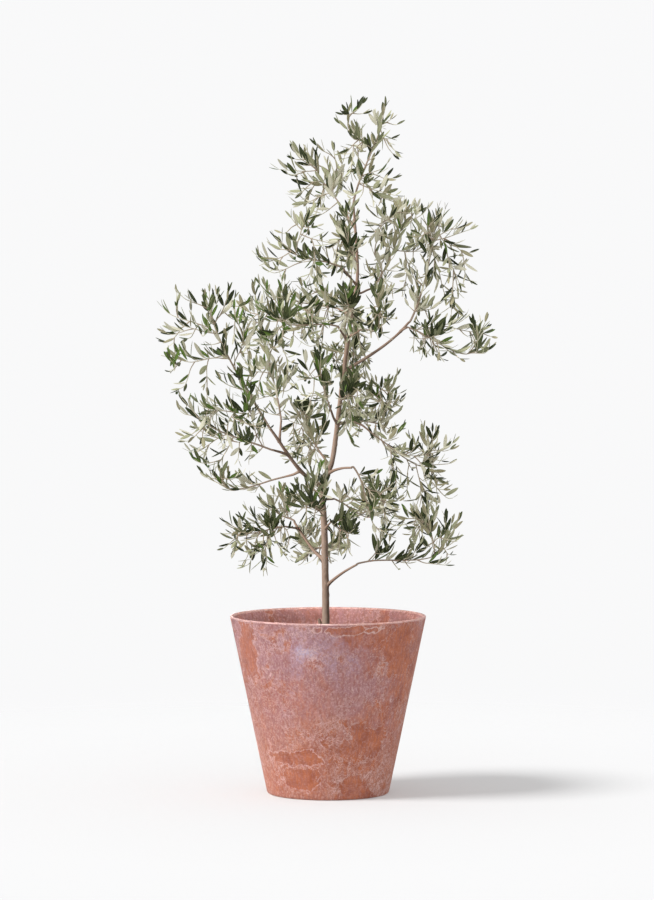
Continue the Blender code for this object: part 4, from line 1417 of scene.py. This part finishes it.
# ---- Pot and compost -------------------------------------------------------------------------

WALL_LEAN = math.atan2(RIM_RADIUS - FOOT_RADIUS, POT_HEIGHT)
WALL_SLANT = math.cos(WALL_LEAN)
WALL_NORMAL = -math.degrees(WALL_LEAN)
ARC_PIECES = 8
POT_SHARP_ANGLE = 40
SOIL_SIDES = 160
SOIL_RINGS = 56
SOIL_STEP = 0.03
SOIL_RELIEF = 0.0030
SOIL_LUMPS = ((26, 0.6), (90, 0.3), (260, 0.18))
SOIL_FADE = 0.006
SOIL_BANK = 0.028
SOIL_SINK = 0.55
SOIL_HEAP = 0.6
CRUMB_ROOM = 0.003
CRUMB_DENSITY = 30000.0
CRUMB_SIZES = (0.0006, 0.0026)
CRUMB_FEWER_LARGE = 2.2


def corner_arc(centre, radius, from_degrees, to_degrees, count=ARC_PIECES):
    """Points of an arc in the profile's own plane."""
    points = []
    for index in range(count + 1):
        angle = math.radians(from_degrees + (to_degrees - from_degrees) * index / count)
        points.append((centre[0] + radius * math.cos(angle), centre[1] + radius * math.sin(angle)))
    return points


def outer_radius(height):
    return FOOT_RADIUS + (RIM_RADIUS - FOOT_RADIUS) * height / POT_HEIGHT


def stepped(points, step):
    """The same profile with a point at least every step."""
    found = [points[0]]
    for start, end in zip(points, points[1:]):
        count = max(1, math.ceil(math.dist(start, end) / step))
        for k in range(1, count + 1):
            found.append(tuple(a + (b - a) * k / count for a, b in zip(start, end)))
    return found


def inner_profile(shrink, top):
    """The inside of the pot from the axis up to a height, drawn in by a margin."""
    floor = FLOOR + shrink
    inset = (WALL + shrink) / WALL_SLANT
    fillet = INNER_FILLET - shrink
    height = floor + fillet
    arc_middle = (outer_radius(height) - inset - fillet / WALL_SLANT, height)
    arc = corner_arc(arc_middle, fillet, -90, WALL_NORMAL)
    return [(0.0, floor)] + arc + [(outer_radius(top) - inset, top)]


def pot_profile():
    """The pot's outside up from its foot and over its chamfered rim, then the inside down."""
    foot_middle = (outer_radius(FOOT_FILLET) - FOOT_FILLET / WALL_SLANT, FOOT_FILLET)
    height = POT_HEIGHT - RIM_ROUND
    rim_middle = (outer_radius(height) - RIM_ROUND / WALL_SLANT, height)
    outside = [(0.0, 0.0)]
    outside += corner_arc(foot_middle, FOOT_FILLET, -90, WALL_NORMAL)
    outside += corner_arc(rim_middle, RIM_ROUND, WALL_NORMAL, 80)
    edge = rim_middle[0] - RIM_FLAT
    outside += corner_arc((edge, POT_HEIGHT - RIM_EASE), RIM_EASE, 90, 150, 4)
    inside = list(reversed(inner_profile(0.0, POT_HEIGHT - RIM_BEVEL_DEPTH)))
    return stepped(outside, POT_STEP), stepped(inside, POT_STEP)


def turned(name, profile, sides, wander=0.0):
    """A solid turned about Z from a profile that starts and ends on the axis. Its faces keep
    the profile's index, and its walls wander by as much as a thrown pot's do."""
    bm = bmesh.new()
    index_layer = bm.faces.layers.int.new("band")
    rings = []
    for radius, height in profile:
        if radius == 0.0:
            rings.append([bm.verts.new((0, 0, height))] * sides)
            continue
        ring = []
        for side in range(sides):
            angle = math.tau * side / sides
            way = Vector((math.cos(angle), math.sin(angle), 0))
            off = noise.noise(Vector((way.x * 2.2, way.y * 2.2, height * 9))) * wander
            ring.append(bm.verts.new(way * (radius - abs(off)) + Vector((0, 0, height))))
        rings.append(ring)
    for band, (low, high) in enumerate(zip(rings, rings[1:])):
        for side in range(sides):
            after = (side + 1) % sides
            corners = []
            for vert in (low[side], low[after], high[after], high[side]):
                if vert not in corners:
                    corners.append(vert)
            face = bm.faces.new(corners)
            face[index_layer] = band
            face.smooth = True
    bmesh.ops.recalc_face_normals(bm, faces=bm.faces)
    return taken_from(bm, name)


def make_pot(outside_clay, inside_clay):
    outside, inside = pot_profile()
    mesh = turned("pot_shell", outside + inside, POT_SIDES, POT_WANDER)
    mesh.materials.append(outside_clay)
    mesh.materials.append(inside_clay)
    bands = mesh.attributes["band"].data
    for face in mesh.polygons:
        face.material_index = int(bands[face.index].value >= len(outside) - 1)
    mesh.set_sharp_from_angle(angle=math.radians(POT_SHARP_ANGLE))
    return linked("pot_shell", mesh)


def compost_mesh():
    """The compost's body, its top lumpy and a little banked up at the trunk, and the indexes of
    the verts where crumbs may lie."""
    sides = inner_profile(GAP, SOIL_LEVEL)
    edge = sides[-1][0]
    top = [(edge * (1 - k / SOIL_RINGS), SOIL_LEVEL) for k in range(1, SOIL_RINGS + 1)]
    mesh = turned("compost_bed", stepped(sides, SOIL_STEP) + top, SOIL_SIDES)
    crumbly = set()
    _, trunk_x, trunk_y = TRUNK_STATIONS[0]
    for vert in mesh.vertices:
        place = vert.co
        if place.z < SOIL_LEVEL - 1e-6:
            continue
        from_wall = edge - math.hypot(place.x, place.y)
        lumps = sum(noise.noise(place * pitch) * swing for pitch, swing in SOIL_LUMPS)
        fade = min(1.0, from_wall / SOIL_FADE)
        from_trunk = (place.x - trunk_x) ** 2 + (place.y - trunk_y) ** 2
        near_trunk = math.exp(-(from_trunk / SOIL_BANK**2))
        place.z += SOIL_RELIEF * fade * (lumps - SOIL_SINK + near_trunk * SOIL_HEAP)
        if from_wall > CRUMB_ROOM:
            crumbly.add(vert.index)
    return mesh, crumbly


def drawn(tree, seed, least, most):
    """A vector drawn at random between two for each point."""
    return node(tree, "FunctionNodeRandomValue", {
        "Seed": SEED + seed, "Min": least, "Max": most,
    }, data_type="FLOAT_VECTOR")


def crumb_tree(material):
    """Scatters small lumps over the chosen faces, half sunk and turned at random."""
    tree, bed, result = geometry_tree("Crumbs on compost")
    spots = node(tree, "GeometryNodeDistributePointsOnFaces", {
        "Mesh": bed, "Selection": named(tree, "top"), "Density": CRUMB_DENSITY, "Seed": SEED,
    })
    lump = node(tree, "GeometryNodeMeshIcoSphere", {"Radius": 1.0, "Subdivisions": 1})
    chance = node(tree, "FunctionNodeRandomValue", {"Seed": SEED + 1}, 1, data_type="FLOAT")
    smallest, largest = CRUMB_SIZES
    size = plus(times(maths("POWER", chance, CRUMB_FEWER_LARGE), largest - smallest), smallest)
    shape = drawn(tree, 2, (0.6, 0.6, 0.45), (1.5, 1.1, 0.9))
    turn = drawn(tree, 3, (-0.4, -0.4, 0.0), (0.4, 0.4, math.tau))
    both = node(tree, "GeometryNodeJoinGeometry")
    for geometry in (set_on(spots, lump, turn, scaled(shape, size)), bed):
        feed(both.node.inputs[0], geometry)
    feed(result, painted(both, material))
    return tree


def make_compost(material):
    mesh, crumbly = compost_mesh()
    covered = [float(crumbly.issuperset(face.vertices)) for face in mesh.polygons]
    given_values(mesh, {"top": covered}, domain="FACE")
    return grown_by(mesh, crumb_tree(material), "compost_bed")


# ---- Trunk and boughs ------------------------------------------------------------------------

TRUNK_SIDES = 28
BOUGH_SIDES = 16
LIMB_RING = 0.0022
COLLAR_SWELL = 0.55
COLLAR_REACH = 0.0075
NODE_SWELL = 0.0010
NODE_REACH = 0.0065
LUMPS = 0.07
FIBRES = 0.025
TIP_ROUND = 0.35
TRUNK_AGES = (1.0, 0.45)
BOUGH_AGES = (0.55, 0.25)

# Old pruning scars on the trunk: height above the compost, heading, swell and reach
SCARS = (
    (0.012, -150, 0.0016, 0.0050),
    (0.026, -60, 0.0010, 0.0040),
    (0.052, -120, 0.0008, 0.0035),
    (0.083, 20, 0.0009, 0.0040),
    (0.121, -95, 0.0007, 0.0032),
    (0.164, 160, 0.0012, 0.0040),
    (0.202, -70, 0.0009, 0.0034),
    (0.251, 70, 0.0010, 0.0036),
    (0.318, -110, 0.0009, 0.0036),
    (0.372, -30, 0.0010, 0.0034),
    (0.432, -140, 0.0008, 0.0030),
    (0.487, -60, 0.0008, 0.0030),
    (0.561, 110, 0.0007, 0.0028),
    (0.640, -90, 0.0006, 0.0026),
)

# The stub of a cut stem at the trunk's foot
STUB_SHARE = 0.014
STUB_SEED = 41
STUB_AGES = (0.2, 0.0)
STUB_HEADING = 180
STUB_RISES = (50, 63, 76)
STUB_LENGTH = 0.029
STUB_STEP = 0.0012
STUB_RADII = (0.0040, 0.0034, 0.0030)


def frames_along(points):
    """Two ways square to the path at each point, which turn as little as they can."""
    across = Vector((1.0, 0.0, 0.0))
    found = []
    for index in range(len(points)):
        ahead = points[min(index + 1, len(points) - 1)] - points[max(index - 1, 0)]
        ahead.normalize()
        across = across - ahead * across.dot(ahead)
        if across.length < 0.1:
            across = ahead.orthogonal()
        across.normalize()
        found.append((across.copy(), ahead.cross(across), ahead))
    return found


def add_limb(bm, layers, points, radii, sides, bumps, seed, ages):
    """A closed limb with relief on its bark, its ends rounded off."""
    grain_layer, age_layer = layers
    lengths = lengths_along(points)
    frames = frames_along(points)
    shift = Vector((seed * 0.37, seed * 0.11, 0))
    rings = []
    for index, (point, radius) in enumerate(zip(points, radii)):
        across, beside, _ = frames[index]
        ring = []
        for side in range(sides):
            angle = math.tau * side / sides
            out = across * math.cos(angle) + beside * math.sin(angle)
            local = Vector((math.cos(angle) * radius, math.sin(angle) * radius, lengths[index]))
            place = point + out * radius
            swell = sum(
                amount * math.exp(-((place - middle).length_squared / reach**2))
                for middle, amount, reach in bumps
                if abs(middle.z - place.z) < reach * 3
            )
            relief = noise.noise(local * 70 + shift) * LUMPS
            fibre_place = Vector((local.x * 900, local.y * 900, local.z * 80))
            relief += noise.noise(fibre_place + shift) * FIBRES
            vert = bm.verts.new(place + out * (radius * relief + swell))
            vert[grain_layer] = local + shift
            vert[age_layer] = ages[0] + (ages[1] - ages[0]) * lengths[index] / lengths[-1]
            ring.append(vert)
        rings.append(ring)
    for low, high in zip(rings, rings[1:]):
        for side in range(sides):
            after = (side + 1) % sides
            bm.faces.new((low[side], low[after], high[after], high[side])).smooth = True
    for ring, turned_in, index, sign in ((rings[0], True, 0, -1), (rings[-1], False, -1, 1)):
        tip = bm.verts.new(points[index] + frames[index][2] * radii[index] * TIP_ROUND * sign)
        tip[grain_layer] = Vector((0, 0, lengths[index])) + shift
        tip[age_layer] = ages[index]
        for side in range(sides):
            after = (side + 1) % sides
            edge = (ring[after], ring[side]) if turned_in else (ring[side], ring[after])
            bm.faces.new((*edge, tip)).smooth = True


def flared(points, radii):
    """The trunk's radii with the spread of its root collar added."""
    return [
        radius + ROOT_FLARE * math.exp((TRUNK_FOOT - point.z) / ROOT_FLARE_HEIGHT)
        for point, radius in zip(points, radii)
    ]


def collared(points, radii, parent_radius):
    """A bough's radii with the collar that it swells to where it leaves its parent."""
    lengths = lengths_along(points)
    return [
        radius * (1 + COLLAR_SWELL * math.exp(-max(0.0, length - parent_radius) / COLLAR_REACH))
        for length, radius in zip(lengths, radii)
    ]


def radius_at(limb, share):
    points, radii = limb
    lengths = lengths_along(points)
    wanted = share * lengths[-1]
    for index in range(len(points) - 1):
        if wanted <= lengths[index + 1]:
            part = (wanted - lengths[index]) / (lengths[index + 1] - lengths[index])
            return radii[index] + (radii[index + 1] - radii[index]) * part
    return radii[-1]


def surface_bumps(name, limbs):
    """Where branches leave this limb and where old ones were cut: middle, swell and reach."""
    bumps = []
    for bough in BOUGHS:
        if bough.parent == name:
            start, way = point_at(limbs[bough.name][0], 0)
            radius = radius_at(limbs[name], bough.share)
            bumps.append((start + way * radius, NODE_SWELL * radius / 0.005, NODE_REACH))
    for mass in MASSES:
        if mass.limb == name and mass.share < 1:
            start, _ = point_at(limbs[name][0], mass.share)
            way = (Vector(mass.middle) - start).normalized()
            radius = radius_at(limbs[name], mass.share)
            bumps.append((start + way * radius, NODE_SWELL * 0.5, NODE_REACH * 0.6))
    if name == "trunk":
        points, _ = limbs["trunk"]
        for height, heading, swell, reach in SCARS:
            share = height / (points[-1].z - points[0].z)
            start, _ = point_at(points, share)
            bumps.append((start + aim(heading, 0) * radius_at(limbs[name], share), swell, reach))
    return bumps


def make_limbs(limbs, material):
    """The trunk and its boughs as one piece of bark."""
    bm = bmesh.new()
    layers = bm.verts.layers.float_vector.new("grain"), bm.verts.layers.float.new("age")
    points, radii = limbs["trunk"]
    points = resampled(points, LIMB_RING)
    radii = flared(points, taper(points, TRUNK_RADII))
    add_limb(bm, layers, points, radii, TRUNK_SIDES, surface_bumps("trunk", limbs), 0, TRUNK_AGES)
    for seed, bough in enumerate(BOUGHS, 1):
        points = resampled(limbs[bough.name][0], LIMB_RING)
        parent_radius = radius_at(limbs[bough.parent], bough.share)
        radii = collared(points, taper(points, bough.radii), parent_radius)
        bumps = surface_bumps(bough.name, limbs)
        add_limb(bm, layers, points, radii, BOUGH_SIDES, bumps, seed, BOUGH_AGES)
    foot, _ = point_at(limbs["trunk"][0], STUB_SHARE)
    leaving, lean, arriving = (aim(STUB_HEADING, rise) * STUB_LENGTH for rise in STUB_RISES)
    stub = curve(foot, leaving, foot + lean, arriving, STUB_STEP)
    add_limb(bm, layers, stub, taper(stub, STUB_RADII), BOUGH_SIDES, [], STUB_SEED, STUB_AGES)
    mesh = taken_from(bm, "trunk_and_boughs")
    mesh.materials.append(material)
    return linked("trunk_and_boughs", mesh)
# ---- Studio ----------------------------------------------------------------------------------

BACKDROP_LIGHT = 0.947
BACKDROP_COLOUR = (1.0, 1.0, 1.005, 1.0)
ROOM_LIGHT = 0.68
ROOM_COLOUR = (1.0, 1.0, 1.0, 1.0)
FLOOR_REACH = (0.9, 1.9)
FLOOR_SIZE = 2.4
FLOOR_LEVEL = -0.0004
FLOOR_COLOUR = (0.600, 0.600, 0.603)
FLOOR_WASH = 0.97
KEY_STRENGTH = 2.15
KEY_WAY = (0.95, 0.26, -0.86)
KEY_SPREAD = 14
LIMB_KEY_STRENGTH = 7.0
LIMB_KEY_WAY = (0.90, 0.50, -0.55)
POT_STRENGTH = 1.5
POT_WAY = (0.12, 0.30, -0.95)
FLOOR_KEY_STRENGTH = 2.9
FLOOR_KEY_WAY = (0.95, 0.34, -0.94)
FLOOR_KEY_SPREAD = 22
FILL_STRENGTH = 0.75
FILL_WAY = (0.15, 0.8, -0.62)
FILL_SPREAD = 40
CAMERA_PLACE = (0.0, -7.0, 0.965)
CAMERA_AIM = (-0.002, 0.0, 0.6564)
CAMERA_LENS = 146.84


def faded(share, first, second):
    """The first shader gone over to the second by a share."""
    tree = share.id_data
    return node(tree, "ShaderNodeMixShader", {0: share, 1: first, 2: second})


def studio_floor():
    """A pale floor that fades into the backdrop."""
    mesh = bpy.data.meshes.new("floor")
    corners = [(x * FLOOR_SIZE, y * FLOOR_SIZE, FLOOR_LEVEL)
               for x, y in ((-1, -1), (1, -1), (1, 1), (-1, 1))]
    mesh.from_pydata(corners, [], [(0, 1, 2, 3)])
    floor = linked("floor", mesh)
    material, tree, surface = material_tree("floor_paint")
    at = node(tree, "ShaderNodeTexCoord", out="Object")
    far = maths("LENGTH", at, out="Value", **on_vectors)
    paint = node(tree, "ShaderNodeBsdfDiffuse", {"Color": (*FLOOR_COLOUR, 1.0)})
    clear = node(tree, "ShaderNodeBsdfTransparent")
    feed(surface, faded(spanned(far, *FLOOR_REACH), paint, clear))
    mesh.materials.append(material)
    return floor


def studio_world():
    """Even light from all round, behind a backdrop of one pale tone."""
    world = bpy.data.worlds.new("studio")
    world.use_nodes = True
    tree = world.node_tree
    tree.nodes.clear()
    room, seen = (node(tree, "ShaderNodeBackground", {"Color": colour, "Strength": strength})
                  for colour, strength in ((ROOM_COLOUR, ROOM_LIGHT),
                                           (BACKDROP_COLOUR, BACKDROP_LIGHT)))
    seen_straight = node(tree, "ShaderNodeLightPath", out="Is Camera Ray")
    last = tree.nodes.new("ShaderNodeOutputWorld")
    feed(last.inputs["Surface"], faded(seen_straight, room, seen))
    bpy.context.scene.world = world


def sun(name, strength, way, spread, lit, shading=None):
    """A distant light that lights only some objects and is shaded by all of them or by some."""
    data = bpy.data.lights.new(name, "SUN")
    data.energy = strength
    data.angle = math.radians(spread)
    light = bpy.data.objects.new(name, data)
    light.rotation_euler = Vector(way).to_track_quat("-Z", "Y").to_euler()
    light.light_linking.receiver_collection = collected(f"{name}_lights", *lit)
    if shading:
        light.light_linking.blocker_collection = collected(f"{name}_shades", *shading)
    bpy.context.scene.collection.objects.link(light)


def collected(name, *objects):
    """A collection of these objects that only a light's linking uses."""
    group = bpy.data.collections.new(name)
    for obj in objects:
        group.objects.link(obj)
    return group


def studio_lights(floor, pot, limbs, crown):
    """A key light from the left on all of it, a soft fill on the crown alone and a light from
    above into the pot. The floor has the same key, where only the pot's shadow falls, on an
    even wash, and leaves don't shade the limbs."""
    sun("key_light", KEY_STRENGTH, KEY_WAY, KEY_SPREAD, [pot, *crown])
    sun("limb_key", LIMB_KEY_STRENGTH, LIMB_KEY_WAY, KEY_SPREAD, [limbs], [limbs, pot])
    sun("front_fill", FILL_STRENGTH, FILL_WAY, FILL_SPREAD, crown)
    sun("pot_light", POT_STRENGTH, POT_WAY, KEY_SPREAD, [pot], [pot])
    sun("floor_key", FLOOR_KEY_STRENGTH, FLOOR_KEY_WAY, FLOOR_KEY_SPREAD, [floor], [pot])
    sun("floor_wash", FLOOR_WASH, (0, 0, -1), FLOOR_KEY_SPREAD, [floor], [floor])


def studio_camera():
    data = bpy.data.cameras.new("camera")
    data.lens = CAMERA_LENS
    camera = bpy.data.objects.new("camera", data)
    camera.location = CAMERA_PLACE
    way = Vector(CAMERA_AIM) - Vector(CAMERA_PLACE)
    camera.rotation_euler = way.to_track_quat("-Z", "Y").to_euler()
    bpy.context.scene.collection.objects.link(camera)
    bpy.context.scene.camera = camera
    bpy.context.scene.view_settings.view_transform = "Standard"


# ---- The tree --------------------------------------------------------------------------------

CROWN_PARTED_AT = 0.87


def dressed(piece, slot, *nodes):
    """Sets a piece on the tree in place of these nodes; its slot is not used."""
    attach(piece, "root")
    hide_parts(*nodes)
    return piece


def make_tree():
    limbs = limb_paths()
    wood = Wood(limbs)
    twigs, fruit = [], []
    leaves = {"leaves_low": [], "leaves_high": []}
    parts = {name: [] for name in leaves}
    for mass in MASSES:
        rng = random.Random(f"{SEED} {mass.name} fruit")
        grown, found = grow_mass(mass, limbs, wood)
        hung, stalks = hang_fruit(found, rng)
        twigs += grown + stalks
        part = "leaves_low" if mass.middle[2] < CROWN_PARTED_AT else "leaves_high"
        leaves[part] += found
        parts[part].append(f"foliage_{mass.name}")
        fruit += hung

    foliage = [f"foliage_{mass.name}" for mass in MASSES]
    uppers = [leaf_side(*tone, *UPPER_GLOSS) for tone in UPPER_SIDES]
    backs = [leaf_side(*tone, *BACK_GLOSS) for tone in BACK_SIDES]
    pieces = [
        dressed(make_limbs(limbs, bark()), "bark", "trunk", *[f"bough_{b.name}" for b in BOUGHS]),
        dressed(make_twigs(twigs, twig_bark()), "bark", *foliage),
        dressed(make_fruit(fruit, olive_skin()), "leaf", *foliage),
    ]
    for name, nodes in parts.items():
        pieces.append(dressed(make_leaves(name, leaves[name], uppers, backs), "leaf", *nodes))
    return pieces


def main():
    studio_camera()
    outside = clay("bloomed_clay", BARE_PATCHES_AND_PAINTED_SHADE, THIN_PATCHES_AND_PAINTED_SHADE, BLOOM_PATCHES, FANS, OUTSIDE_TINT,
                   OUTSIDE_WEAR)
    inside = clay("inner_clay", INNER_PATCHES, (), (), (), INSIDE_PAINTED_LIGHT_TINT, INSIDE_WEAR)
    pot = dressed(make_pot(outside, inside), "clay", "pot")
    soil = dressed(make_compost(compost()), "compost", "soil")
    tree = make_tree()
    floor = studio_floor()
    studio_world()
    studio_lights(floor, pot, tree[0], [soil, *tree[1:]])


main()
